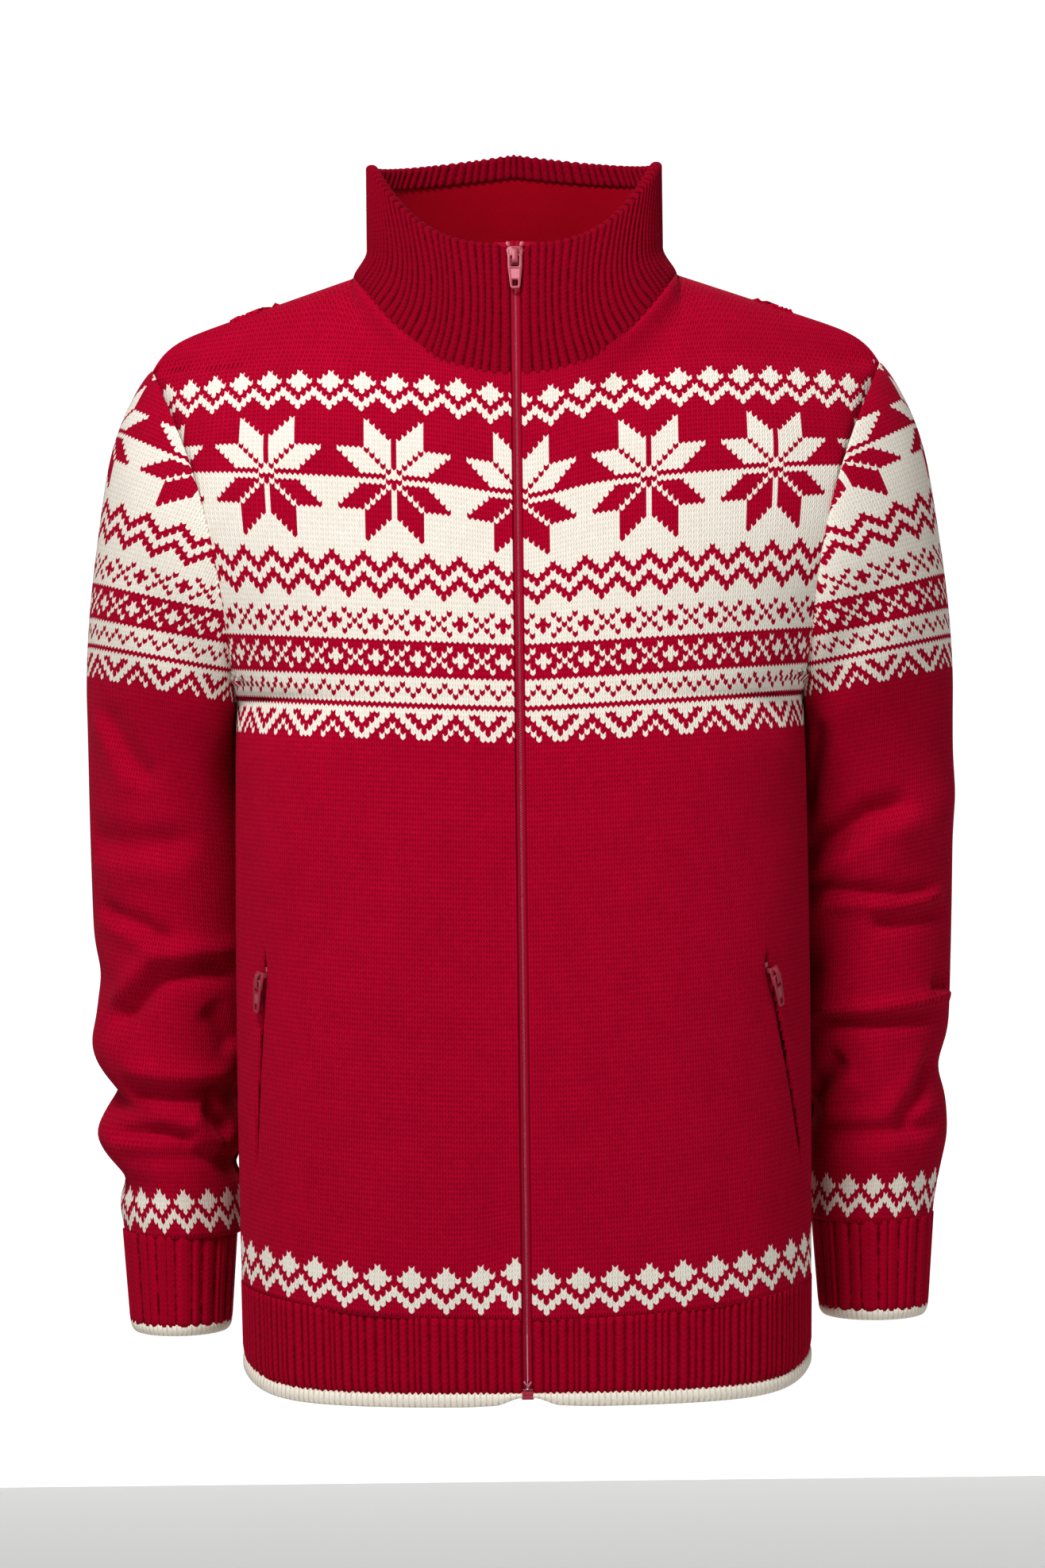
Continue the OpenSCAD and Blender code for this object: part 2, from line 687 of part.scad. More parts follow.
module left_pocket_foot_stop() {
  pocket_stop(1, -1);
}
module pocket_slider(s) {
  k = pocket_slider_scale;
  color([0.75, 0.16, 0.26])
    on_pocket(s)
      translate([0, 0, slider_seat(s)])
        scale(k)
          slider(pocket_tape_level / k, pocket_gap / k);
}
module right_pocket_slider() {
  pocket_slider(-1);
}
module left_pocket_slider() {
  pocket_slider(1);
}
module pocket_pull(s) {
  k = pocket_slider_scale;
  color([0.78, 0.2, 0.3])
    on_pocket(s)
      translate([0, 0, slider_seat(s)])
        scale(k)
          translate([0, -bar_out, bar_up])
            pull_tab();
}
module right_pocket_pull_tab() {
  pocket_pull(-1);
}
module left_pocket_pull_tab() {
  pocket_pull(1);
}

right_front_panel();
left_front_panel();
back_panel();
right_sleeve();
left_sleeve();
right_cuff_rib();
left_cuff_rib();
right_cuff_edge();
left_cuff_edge();
right_front_hem_rib();
left_front_hem_rib();
back_hem_rib();
right_front_hem_edge();
left_front_hem_edge();
back_hem_edge();
collar();
collar_lining();
right_front_lining();
left_front_lining();
back_lining();
right_zip_tape();
left_zip_tape();
right_zip_coil();
left_zip_coil();
right_top_stop();
left_top_stop();
zip_insertion_pin();
zip_retainer_box();
main_slider();
main_pull_tab();
right_pocket_bag();
left_pocket_bag();
right_pocket_tape();
left_pocket_tape();
right_pocket_coil();
left_pocket_coil();
right_pocket_top_stop();
left_pocket_top_stop();
right_pocket_foot_stop();
left_pocket_foot_stop();
right_pocket_slider();
left_pocket_slider();
right_pocket_pull_tab();
left_pocket_pull_tab();
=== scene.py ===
"""Knitted zip jacket: red and cream yoke, ribbed collar, cuffs and hem, three zips."""
import math
from contextlib import contextmanager
import bmesh
import bpy
import numpy as np
from mathutils import Matrix, Vector


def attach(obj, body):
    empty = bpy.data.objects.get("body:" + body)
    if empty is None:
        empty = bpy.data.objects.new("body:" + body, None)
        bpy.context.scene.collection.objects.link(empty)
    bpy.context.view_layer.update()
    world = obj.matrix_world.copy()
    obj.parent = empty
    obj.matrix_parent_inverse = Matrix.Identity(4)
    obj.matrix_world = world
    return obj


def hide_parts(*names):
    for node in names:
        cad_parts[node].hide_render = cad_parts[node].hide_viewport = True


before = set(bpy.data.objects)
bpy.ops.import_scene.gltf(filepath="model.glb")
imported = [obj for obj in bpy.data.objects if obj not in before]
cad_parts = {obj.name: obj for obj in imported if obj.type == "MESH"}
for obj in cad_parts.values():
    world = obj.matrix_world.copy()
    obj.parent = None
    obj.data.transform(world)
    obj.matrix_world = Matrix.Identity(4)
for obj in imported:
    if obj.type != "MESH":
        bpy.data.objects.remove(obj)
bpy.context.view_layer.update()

MM = 0.001
SHOULDER = 692.0                # height of the shoulder line above the front hem, in mm
SIDES = {"right": -1, "left": 1}
BODY = "garment"

# ---------------------------------------------------------------- body surface, in mm above the hem
ARMPIT, TIP = 430.0, 635.0
ARM_MID, ARM_HALF = (ARMPIT + TIP) / 2, (TIP - ARMPIT) / 2
NECK_FRONT, NECK_HALF = 625.0, 101.0
RIM_FRONT, RIM_BACK, RIM_HALF = 704.5, 772.0, 92.2
ZIP_RADIUS, ZIP_Z, ZIP_Y = 1699.0, 255.1, 1568.4
ZIP_EDGE = 3.2                  # knit edge beside the front zip
SIDE_Y = -8.0                   # depth of the side and shoulder seams
RIB_TOP = 52.0                  # height of the hem rib
EDGE = 6.5                      # height of the cream edges
HEM_RISE = 12.0                 # how far the hem climbs at the side seams
LAP = 0.45                      # overlap of two panels along a seam
NECK_CURVE, RIM_CURVE = 2.4, 3.0
RIM_DROP = 12.0                 # how far the rim falls from the back to its sides
TIP_HALF = 228                  # half the distance between the shoulder tips
CUFF_TALL = 63.5                # height of a cuff with its edge


def mix(a, b, t):
    return a + (b - a) * t


def smooth(t):
    c = np.clip(t, 0.0, 1.0)
    return c * c * (3 - 2 * c)


def bell(d, w):
    return np.exp(-((d / w) ** 2))


def wrap(a):
    return a - 360 * np.round(a / 360)


def run_length(points):
    """Distance of each point of a row from the first."""
    return np.concatenate([[0], np.cumsum(np.linalg.norm(np.diff(points, axis=0), axis=1))])


def zip_y(z, inset=0.0):
    return ZIP_Y - np.sqrt((ZIP_RADIUS - inset) ** 2 - (z - ZIP_Z) ** 2)


def half_width(z):
    high = 178 + 1.5 * smooth((z - ARMPIT) / 40)
    high = high + 48.5 * np.clip((z - ARMPIT) / (TIP - ARMPIT), 0, 1) ** 2.2
    return np.where(z < ARMPIT, 178 + 2 * np.sin(np.pi * z / ARMPIT), high)


def armhole_y(z):
    return 62 * np.sqrt(np.maximum(0, 1 - ((z - ARM_MID) / ARM_HALF) ** 2))


def squareness(z):
    return smooth((z - ARMPIT + 45) / 90)


def round_reach(r):
    """How far out a rounded outline stands at share r across."""
    return np.maximum(0, 1 - np.abs(r) ** 2.5) ** 0.4


def soft_reach(x, loose):
    """The same at x beside the neck, falling off earlier where the cloth hangs loose (1)."""
    r = np.clip(np.abs(x) / NECK_HALF, 0, 1)
    return np.maximum(0, 1 - r ** 2.5) ** (0.4 + 1.0 * loose)


def top_z(x, back):
    r = np.clip(x / NECK_HALF, 0, 1)
    inner = SHOULDER - 3 * (1 - r ** 2) if back else mix(NECK_FRONT, SHOULDER, r ** NECK_CURVE)
    out = np.clip((x - NECK_HALF) / (TIP_HALF - NECK_HALF), 0, 1)
    return np.where(x < NECK_HALF, inner, mix(SHOULDER, TIP, 0.75 * out + 0.25 * out ** 14))


def front_pt(u, z, inset=0.0):
    """Point of the front at share u from the zip to the side; the inset measures inwards."""
    sq = squareness(z)
    wide = half_width(z) - inset * np.minimum(1, 2 - 2 * sq)
    x = ZIP_EDGE + (wide - ZIP_EDGE) * u
    edge = SIDE_Y - armhole_y(z) + inset * smooth((z - 428) / 12) + LAP
    bow = np.maximum(0, 1 - u ** 2.9) ** mix(0.45, 0.9, sq)
    cross = edge + (zip_y(z, inset) - edge) * bow
    xt = ZIP_EDGE + (TIP_HALF - ZIP_EDGE) * u
    zt = top_z(xt, False) - inset
    start = 580 - 65 * ((xt - NECK_HALF) / (TIP_HALF - NECK_HALF)) ** 2 - inset
    w = np.clip((z - start) / (zt - start), 0, 1) * smooth(u / 0.3)
    reach = soft_reach(xt, smooth((1 - w) / 0.55))
    yt = SIDE_Y + LAP + (zip_y(NECK_FRONT, inset) - SIDE_Y) * reach
    return np.stack([x, yt + (cross - yt) * np.sqrt(1 - w * w), z + 0 * x], -1)


def front_on(side, u, z, inset=0.0):
    """The same on the named side of the jacket."""
    return front_pt(u, z, inset) * [SIDES[side], 1, 1]


def back_pt(u, z, inset=0.0):
    sq = squareness(z)
    a = np.abs(u)
    x = (half_width(z) - inset * np.minimum(1, 2 - 2 * sq)) * u
    edge = SIDE_Y + armhole_y(z) - inset * smooth((z - 428) / 12) - LAP
    mid = 98 + 14 * np.sin(np.pi * np.minimum(1, z / 640)) - inset
    cross = edge + (mid - edge) * np.maximum(0, 1 - a ** 2.4) ** mix(0.45, 0.9, sq)
    zt = top_z(TIP_HALF * a, True) - inset
    w = np.clip((z - zt + 150) / 150, 0, 1)
    yt = SIDE_Y - LAP + (60 - inset) * soft_reach(TIP_HALF * a, smooth((1 - w) / 0.55))
    return np.stack([x, yt + (cross - yt) * np.sqrt(1 - w * w), z + 0 * x], -1)


def hem_z(u):
    """Climb of the line above the ribs towards the sides."""
    return HEM_RISE * np.abs(u) ** 2


def low_z(u):
    """The same for the lower edge, which stays level almost to the side seam."""
    return HEM_RISE * np.abs(u) ** 14


# ---------------------------------------------------------------- sleeves
# Broad folds of a sleeve: share of its length, angle round it (0 outside, 270 front), depth,
# spread along, spread round, slant
FOLDS = {
    "right": (
        (0.70, 340, -4, 0.03, 40, -0.03), (0.78, 320, 6, 0.03, 60, 0),
        (0.835, 345, -12, 0.022, 55, -0.03), (0.80, 190, -8, 0.03, 40, 0),
        (0.885, 320, 6, 0.022, 60, 0), (0.90, 190, -7, 0.02, 40, 0),
        (0.935, 350, -9, 0.022, 60, -0.01), (0.15, 250, -5, 0.05, 50, 0.05),
    ),
    "left": (
        (0.52, 270, 5, 0.035, 80, -0.02), (0.63, 190, -8, 0.03, 35, 0),
        (0.82, 350, -6, 0.03, 45, 0), (0.84, 190, -7, 0.03, 40, 0),
        (0.90, 280, 4, 0.03, 70, 0), (0.15, 250, -5, 0.05, 50, 0.05),
    ),
}
# Sharp creases: depth, half width, height of the ridge beside it (below it when negative),
# then the line it follows as heights above the hem and angles
CREASES = {
    "right": (
        (4, 8, -3, (430, 318), (400, 296), (372, 276)),
        (5, 10, -2, (343, 345), (340, 300), (338, 240)),
        (4.5, 6, -2.5, (302, 335), (288, 288), (274, 262)),
        (7, 7, 4, (224, 326), (236, 298), (256, 275), (260, 245), (259, 200)),
        (4, 8, 0, (238, 243), (205, 216)),
        (6, 6, 4, (186, 312), (182, 270), (182, 203)),
        (7, 7, -4, (176, 240), (163, 230), (152, 210)),
        (5, 5, 2.5, (155, 330), (157, 273), (152, 246)),
        (3, 6, 0, (141, 325), (142, 205)),
    ),
    "left": (
        (4, 9, 0, (415, 215), (350, 205)),
        (7, 8, -5, (322, 187), (337, 240), (353, 264), (362, 300)),
        (4.5, 5, -2.5, (306, 187), (305, 257), (302, 285), (308, 331)),
        (4.5, 6, 2.5, (284, 262), (287, 285), (294, 338)),
        (6, 5, 4, (220, 203), (222, 269), (227, 333)),
        (6, 5, -3, (244, 312), (245, 345)),
        (6, 8, -3.5, (200, 245), (186, 225), (174, 200)),
        (5, 7, 2.5, (203, 322), (174, 302), (153, 278)),
        (3.5, 6, 2, (150, 200), (156, 330)),
    ),
}
ARC = 0.84                      # millimetres round a sleeve to a degree
CREASE_DEPTH = 1.35             # factor on the depths above
SLEEVE_HALF = 277               # half the distance across both sleeves at the armpit


def creases(side, z, a):
    """Sum of the sharp creases at height z and angle a."""
    total = 0 * z
    at = wrap(a - 270) * ARC
    for deep, wide, ridge, *line in CREASES[side]:
        best = np.full_like(total, 1e6)
        signed, share = 0 * total, 0 * total
        for n in range(len(line) - 1):
            (z0, a0), (z1, a1) = line[n], line[n + 1]
            x0, dx, dz = (a0 - 270) * ARC, (a1 - a0) * ARC, z1 - z0
            k = ((at - x0) * dx + (z - z0) * dz) / (dx * dx + dz * dz)
            held = np.clip(k, 0, 1)
            far = np.hypot(at - x0 - held * dx, z - z0 - held * dz)
            near = far < best
            best = np.where(near, far, best)
            above = np.sign(dx) * ((z - z0) * dx - (at - x0) * dz)
            signed = np.where(near, far * np.sign(above), signed)
            share = np.where(near, (n + held) / (len(line) - 1), share)
        taper = smooth(share / 0.22) * smooth((1 - share) / 0.22)
        lift = abs(ridge) * bell(signed - 1.5 * wide * np.sign(ridge), 1.2 * wide)
        total = total + CREASE_DEPTH * taper * (lift - deep * bell(best, wide))
    return total


def fold(side, t, a):
    total = 0 * t
    for at, angle, deep, along, around, slant in FOLDS[side]:
        turn = wrap(a - angle)
        total = total + deep * bell(t - at - slant * turn / 90, along) * bell(turn, around)
    return total


def sleeve_foot(side):
    """Height at which the cuff rib begins."""
    return 92.5 + 2.6 * SIDES[side]


def sleeve_pt(side, t, a, inset=0.0):
    s = SIDES[side]
    low = sleeve_foot(side)
    rad = np.radians(a)
    ca, sa = np.cos(rad), np.sin(rad)
    oz = mix(TIP, low, t)
    iz = mix(ARMPIT, low - 2, t ** 1.35)
    rise = np.clip((oz - ARMPIT) / (TIP - ARMPIT), 0, 1)
    high = mix(TIP_HALF, SLEEVE_HALF, np.maximum(0, 1 - rise ** 1.7) ** 0.75)
    ox = np.where(oz > ARMPIT, high, SLEEVE_HALF - 9 * ((ARMPIT - oz) / 305) ** 2)
    end = smooth((t - 0.9) / 0.1)
    ox = ox - end * (8 if s < 0 else 5)
    ix = mix(mix(180.2, 172.5, smooth((t - 0.22) / 0.2)), 183, smooth((t - 0.6) / 0.4))
    hx, hz = (ox - ix) / 2, (oz - iz) / 2
    reach = np.hypot(hx, hz)
    head = 5 * bell(t - 0.09, 0.07) * np.maximum(0, ca) ** 2
    f = fold(side, t, a) + creases(side, (oz + iz) / 2 + hz * ca, a)
    f = f * smooth(t / 0.1) * smooth((1.01 - t) / 0.04)
    k = reach - inset + f + head
    z = (oz + iz) / 2 + hz / reach * k * ca
    hang = smooth(t / 0.45)
    y = mix(SIDE_Y, 46 - 4 * t, hang)
    y = y + (62 - 17 * t ** 1.4 + 4 * np.sin(np.pi * t) - 3.5 * end - inset + f) * sa
    seam_x = half_width(ARM_MID + ARM_HALF * ca)
    x = (ox + ix) / 2 + hx / reach * k * ca + (seam_x - (204 + 24 * ca)) * (1 - smooth(t / 0.25)) - 0.8
    return np.stack([x * s, y, z], -1)


def cuff_pt(side, a, h, inset=0.0):
    s = SIDES[side]
    centre, wide = (221.5, 32) if s < 0 else (222, 34.5)
    foot = 2.2 * (1 - np.clip(h / 9, 0, 1)) ** 2
    rad = np.radians(a)
    x = s * (centre + (wide - inset - foot + 4.5 * h / CUFF_TALL) * np.cos(rad))
    y = 42 + (37 - inset - foot + 4.5 * h / CUFF_TALL) * np.sin(rad)
    return np.stack([x, y, sleeve_foot(side) - CUFF_TALL + h + np.cos(rad) * h / CUFF_TALL], -1)


def collar_half(h, sa):
    """Half the collar's width at share h of its height; the front flares over more of it."""
    share = mix(0.95, 0.27, np.abs(sa) ** 3)
    return mix(NECK_HALF, RIM_HALF, smooth(0.12 + h / share) / smooth(0.12 + 1 / share))


def collar_pt(q, h, inset=0.0):
    start = np.arcsin(ZIP_EDGE / (collar_half(h, 0.0) - inset))
    a = mix(start, 2 * np.pi - start, q)
    sa, ca = np.sin(a), np.cos(a)
    wide = collar_half(h, sa) - inset
    front = ca > 0
    seam = np.where(front, mix(NECK_FRONT, SHOULDER, np.abs(sa) ** NECK_CURVE), SHOULDER - 3 * ca ** 2)
    front_rim = mix(RIM_FRONT, RIM_BACK - RIM_DROP, np.abs(sa) ** RIM_CURVE)
    rim = np.where(front, front_rim, RIM_BACK - RIM_DROP * np.abs(sa))
    y0 = mix(SIDE_Y, -6, h)
    deep = np.where(front, zip_y(mix(NECK_FRONT, RIM_FRONT, h), inset) - y0, mix(60, 52, h) - inset)
    x = -wide * sa
    return np.stack([x, y0 + deep * round_reach(sa), mix(seam + 0.4, rim, h)], -1)


# ---------------------------------------------------------------- knitted pattern
STITCH = 3.22                   # width of a stitch at the chest
ROW = 3.12                      # height of a row
YOKE_ROWS = 185                 # rows from the hem rib to the top of the yoke pattern
YOKE_DEEP = 73                  # rows in the yoke pattern


def apart(c, period):
    """Distance of column c from the nearest multiple of the period."""
    return np.abs(c - period * np.round(c / period))


def diamonds(c, r):
    """Diamonds six stitches apart over a zigzag two stitches thick, nine rows; r counts down."""
    d = apart(c, 6)
    return ((r <= 4) & (d + np.abs(r - 2) <= 2)) | (r == 7 - d) | (r == 8 - d)


def flakes(c, r):
    """Crosses and dots eight stitches apart, five rows."""
    w = apart(c, 8)
    cross = (w <= 2) & (w == np.abs(r - 2))
    dot = ((w == 4) & (np.abs(r - 2) <= 1)) | ((w == 3) & (r == 2))
    return (r >= 0) & (r <= 4) & (cross | dot)


def star(c, up):
    """Upper half of an eight-pointed star, twelve rows; up counts from its middle."""
    tall = (c >= 1) & (c <= 5) & (up >= c + 2) & (up <= c + 7)
    flat = (up >= 2) & (up <= 6) & (c >= up) & (c <= up + 4)
    heart = ((c <= 1) & (up == 1)) | ((c == 0) & (up == 2))
    return tall | flat | heart


def border(c, r):
    """Nested waves twelve stitches apart that close the yoke, six rows."""
    p = apart(c - 1, 12)
    peak = (p <= 2) & ((r <= p) | (r == p + 3))
    valley = (p >= 3) & ((r <= np.maximum(0, p - 4)) | (r == p - 1) | (r == p))
    return peak | valley


def yoke_chart(c, k):
    """True where a stitch is cream; c counts from the middle star, k rows down from the top."""
    star_c, d6, d4 = apart(c, 24), apart(c, 6), apart(c + 1, 4)
    cream = (k >= 0) & (k < 9) & diamonds(c, k)
    cream = cream | ((k >= 11) & (k < 23) & star(star_c, 23 - k))
    cream = cream | ((k >= 23) & (k < 35) & ~star(star_c, k - 22))
    zig = (k == 37 + d6) | (k == 38 + d6) | (k == 41 + d6) | (k == 42 + d6)
    cream = cream | ((k >= 35) & (k < 48) & ~zig)
    cream = cream | ((k >= 48) & (k < 53) & ~flakes(c, k - 48)) | (k == 53)
    cream = cream | ((k >= 55) & (k < 60) & flakes(c, k - 55))
    cream = cream | ((k >= 61) & (k < 66) & (k != 62 + d4))
    return cream | ((k >= 67) & (k < YOKE_DEEP) & border(c, k - 67))


def panel_chart(c, r, top, shift=0):
    """True where a panel's stitch is cream: the yoke, top rows up, and the diamonds at its foot."""
    return yoke_chart(c, top - 1 - r) | (diamonds(c - shift, 9 - r) & (r >= 1) & (r <= 9))


# ---------------------------------------------------------------- cloth from a grid
def to_mesh(bm):
    mesh = bpy.data.meshes.new("mesh")
    bm.to_mesh(mesh)
    bm.free()
    return mesh


@contextmanager
def editing(mesh):
    """Opens a mesh for bmesh calls and writes them back."""
    bm = bmesh.new()
    bm.from_mesh(mesh)
    yield bm
    bm.to_mesh(mesh)
    bm.free()


def close_holes(mesh):
    """Closes a mesh's open ends."""
    with editing(mesh) as bm:
        bmesh.ops.holes_fill(bm, edges=[e for e in bm.edges if e.is_boundary], sides=0)
        bmesh.ops.recalc_face_normals(bm, faces=bm.faces)


def joined(meshes):
    """One mesh from several."""
    bm = bmesh.new()
    for mesh in meshes:
        bm.from_mesh(mesh)
        bpy.data.meshes.remove(mesh)
    return to_mesh(bm)


def grid_cloth(points, uv, flip=False, yarn=None, ring=False, cut=None, merge=1e-6):
    """Cloth through a grid of points (mm above the hem), with its map and yarn, without empty faces."""
    across, up = points.shape[1] - 1, points.shape[0] - 1
    bm = bmesh.new()
    bmesh.ops.create_grid(bm, x_segments=across, y_segments=up, size=0.5)
    mesh = to_mesh(bm)
    co = np.empty(len(mesh.vertices) * 3)
    mesh.vertices.foreach_get("co", co)
    co = co.reshape(-1, 3)
    i = np.rint((co[:, 0] + 0.5) * across).astype(int)
    j = np.rint((co[:, 1] + 0.5) * up).astype(int)
    mesh.vertices.foreach_set("co", ((points[j, i] - [0, 0, SHOULDER]) * MM).ravel())
    loops = np.empty(len(mesh.loops), dtype=np.int32)
    mesh.loops.foreach_get("vertex_index", loops)
    loop_uv = uv[j, i][loops]
    layer = mesh.uv_layers.new(name="stitches")
    layer.data.foreach_set("uv", loop_uv.astype(np.float32).ravel())
    if yarn is not None:
        quad_uv = loop_uv.reshape(-1, 4, 2).mean(axis=1)
        value = yarn(np.floor(quad_uv[:, 0]), np.floor(quad_uv[:, 1]))
        store = mesh.attributes.new("yarn", "FLOAT", "CORNER")
        store.data.foreach_set("value", np.repeat(value.astype(np.float32), 4))
    if flip:
        mesh.flip_normals()
    with editing(mesh) as bm:
        empty = [f for f in bm.faces if f.calc_area() < (6e-8 if merge > 1e-6 else 2e-9)]
        if cut is not None:
            gone, cut = set(empty), cut[j, i]
            empty += [f for f in bm.faces if f not in gone and any(cut[v.index] for v in f.verts)]
        bmesh.ops.delete(bm, geom=empty, context="FACES")
        if ring or merge > 1e-6:
            bmesh.ops.remove_doubles(bm, verts=bm.verts, dist=merge)
        bmesh.ops.dissolve_degenerate(bm, dist=1e-6, edges=bm.edges)
        for f in bm.faces:
            f.smooth = True
    return mesh


def in_scene(name, data):
    obj = bpy.data.objects.new(name, data)
    bpy.context.scene.collection.objects.link(obj)
    return obj


def add_piece(name, mesh, material, body, node):
    """Puts a piece in the scene: it rides on the body and stands for the node."""
    mesh.name = name
    obj = in_scene(name, mesh)
    mesh.materials.append(material)
    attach(obj, body)
    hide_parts(node)
    return obj


def thicken(obj, mm):
    """Gives a sheet its wall, inwards from its surface."""
    wall = obj.modifiers.new("cloth thickness", "SOLIDIFY")
    wall.thickness = mm * MM
    wall.offset = -1.0
    return wall


def share_table(point, zs, us):
    """Distance across the surface, from the first share, at each level."""
    u, z = np.meshgrid(us, zs)
    step = np.linalg.norm(np.diff(point(u, z), axis=1), axis=2)
    return np.hstack([np.zeros((len(zs), 1)), np.cumsum(step, axis=1)])


def row_levels(point, u, z0, z1, rows, pitch):
    """Level of every row, spaced along the surface at share u."""
    zs = np.linspace(z0, z1, 500)
    pts = point(np.full_like(zs, u), zs)
    return np.interp(np.asarray(rows) * pitch, run_length(pts), zs)


def dip(u, z):
    """How far the rows climb from the zip to the side."""
    deep = np.interp(z, [57, 400, 480, 540, 572, 612, 700], [HEM_RISE, 8, 10, 14, 17, 14, 12])
    power = np.interp(z, [57, 300, 400], [2, 1.4, 1.1])
    return deep * np.abs(u) ** power


# ---------------------------------------------------------------- materials
def new_material(name, rough, sheen=0.0):
    """A material, the graph of its nodes and its shader."""
    mat = bpy.data.materials.new(name)
    mat.use_nodes = True
    shader = mat.node_tree.nodes["Principled BSDF"]
    shader.inputs["Roughness"].default_value = rough
    if sheen:
        shader.inputs["Sheen Weight"].default_value = sheen
        shader.inputs["Sheen Roughness"].default_value = 0.5
        shader.inputs["Sheen Tint"].default_value = (1.0, 0.12, 0.2, 1.0)
        shader.inputs["Specular IOR Level"].default_value = 0.03
    return mat, Graph(mat.node_tree), shader


class Graph:
    """Short calls for the nodes that the finishes share."""

    def __init__(self, tree):
        self.tree = tree

    def link(self, a, b):
        self.tree.links.new(a, b)

    def node(self, kind, **values):
        made = self.tree.nodes.new(kind)
        for key, value in values.items():
            setattr(made, key, value)
        return made

    def plug(self, socket, value):
        if hasattr(value, "is_linked"):
            self.link(value, socket)
        else:
            socket.default_value = value

    def math(self, operation, a, b=0.0, clamp=False):
        made = self.node("ShaderNodeMath", operation=operation, use_clamp=clamp)
        self.plug(made.inputs[0], a)
        self.plug(made.inputs[1], b)
        return made.outputs[0]

    def coords(self, layer=None):
        if layer:
            return self.node("ShaderNodeUVMap", uv_map=layer).outputs[0]
        return self.node("ShaderNodeTexCoord").outputs["Object"]

    def split(self, vector):
        made = self.node("ShaderNodeSeparateXYZ")
        self.link(vector, made.inputs[0])
        return made.outputs

    def noise(self, vector, scale, detail=2.0, rough=0.5):
        made = self.node("ShaderNodeTexNoise")
        self.link(vector, made.inputs["Vector"])
        made.inputs["Scale"].default_value = scale
        made.inputs["Detail"].default_value = detail
        made.inputs["Roughness"].default_value = rough
        return made.outputs[0]

    def remap(self, value, a, b, c, d):
        made = self.node("ShaderNodeMapRange")
        self.link(value, made.inputs[0])
        for k, v in enumerate((a, b, c, d)):
            made.inputs[k + 1].default_value = v
        return made.outputs[0]

    def colour(self, fac, a, b):
        made = self.node("ShaderNodeMix", data_type="RGBA")
        self.plug(made.inputs[0], fac)
        for socket, value in ((made.inputs[6], a), (made.inputs[7], b)):
            self.plug(socket, value if hasattr(value, "is_linked") else (*value, 1.0))
        return made.outputs[2]

    def bump(self, height, strength, distance, shader):
        made = self.node("ShaderNodeBump")
        self.link(height, made.inputs["Height"])
        made.inputs["Strength"].default_value = strength
        made.inputs["Distance"].default_value = distance
        self.link(made.outputs[0], shader.inputs["Normal"])


# The darker red and cream below are painted shade for the grooves between stitches.
RED = (0.520, 0.0008, 0.0270)
RED_GROOVE_SHADE = (0.130, 0.0, 0.0060)
CREAM = (0.96, 0.92, 0.83)
CREAM_GROOVE_SHADE = (0.66, 0.57, 0.47)


def knit_material(name):
    """Stocking stitch: two leaning legs a stitch, painted shade between them and between the rows, a little
    fibre.
    """
    mat, g, shader = new_material(name, 0.92, 0.05)
    u, v, _ = g.split(g.coords("stitches"))
    side = g.math("MULTIPLY", g.math("ABSOLUTE", g.math("SUBTRACT", g.math("FRACT", u), 0.5)), 2.0)
    fv = g.math("FRACT", g.math("SUBTRACT", v, g.math("MULTIPLY", side, 0.25)))
    off = g.math("SUBTRACT", side, g.remap(fv, 0.0, 1.0, 0.2, 0.84))
    leg = g.math("COSINE", g.math("MULTIPLY", off, 3.0))
    loop = g.math("POWER", g.math("SINE", g.math("MULTIPLY", fv, math.pi)), 0.3)
    body = g.math("MULTIPLY", g.remap(leg, 0.0, 0.95, 0.12, 1.0), g.remap(loop, 0.0, 1.0, 0.6, 1.0))
    fibre = g.noise(g.coords(), 2600.0, 3.0, 0.6)
    patch = g.noise(g.coords(), 55.0, 2.0, 0.5)
    loose = g.noise(g.coords(), 420.0, 1.0, 0.5)
    # lit mixes painted shade between the legs and rows (body) with random tone from the fibre, patch and
    # loose noise.
    lit = g.math("MULTIPLY", g.math("POWER", body, 0.7), g.remap(fibre, 0.3, 0.75, 0.7, 1.15))
    lit = g.math("MULTIPLY", lit, g.remap(patch, 0.3, 0.7, 0.92, 1.08))
    lit = g.math("MULTIPLY", lit, g.remap(loose, 0.3, 0.7, 0.85, 1.1), clamp=True)
    yarn = g.node("ShaderNodeAttribute", attribute_name="yarn").outputs["Fac"]
    red, cream = g.colour(lit, RED_GROOVE_SHADE, RED), g.colour(lit, CREAM_GROOVE_SHADE, CREAM)
    g.link(g.colour(yarn, red, cream), shader.inputs["Base Color"])
    height = g.math("ADD", body, g.math("MULTIPLY", fibre, 0.3))
    g.bump(height, 0.5, 0.0010, shader)
    return mat


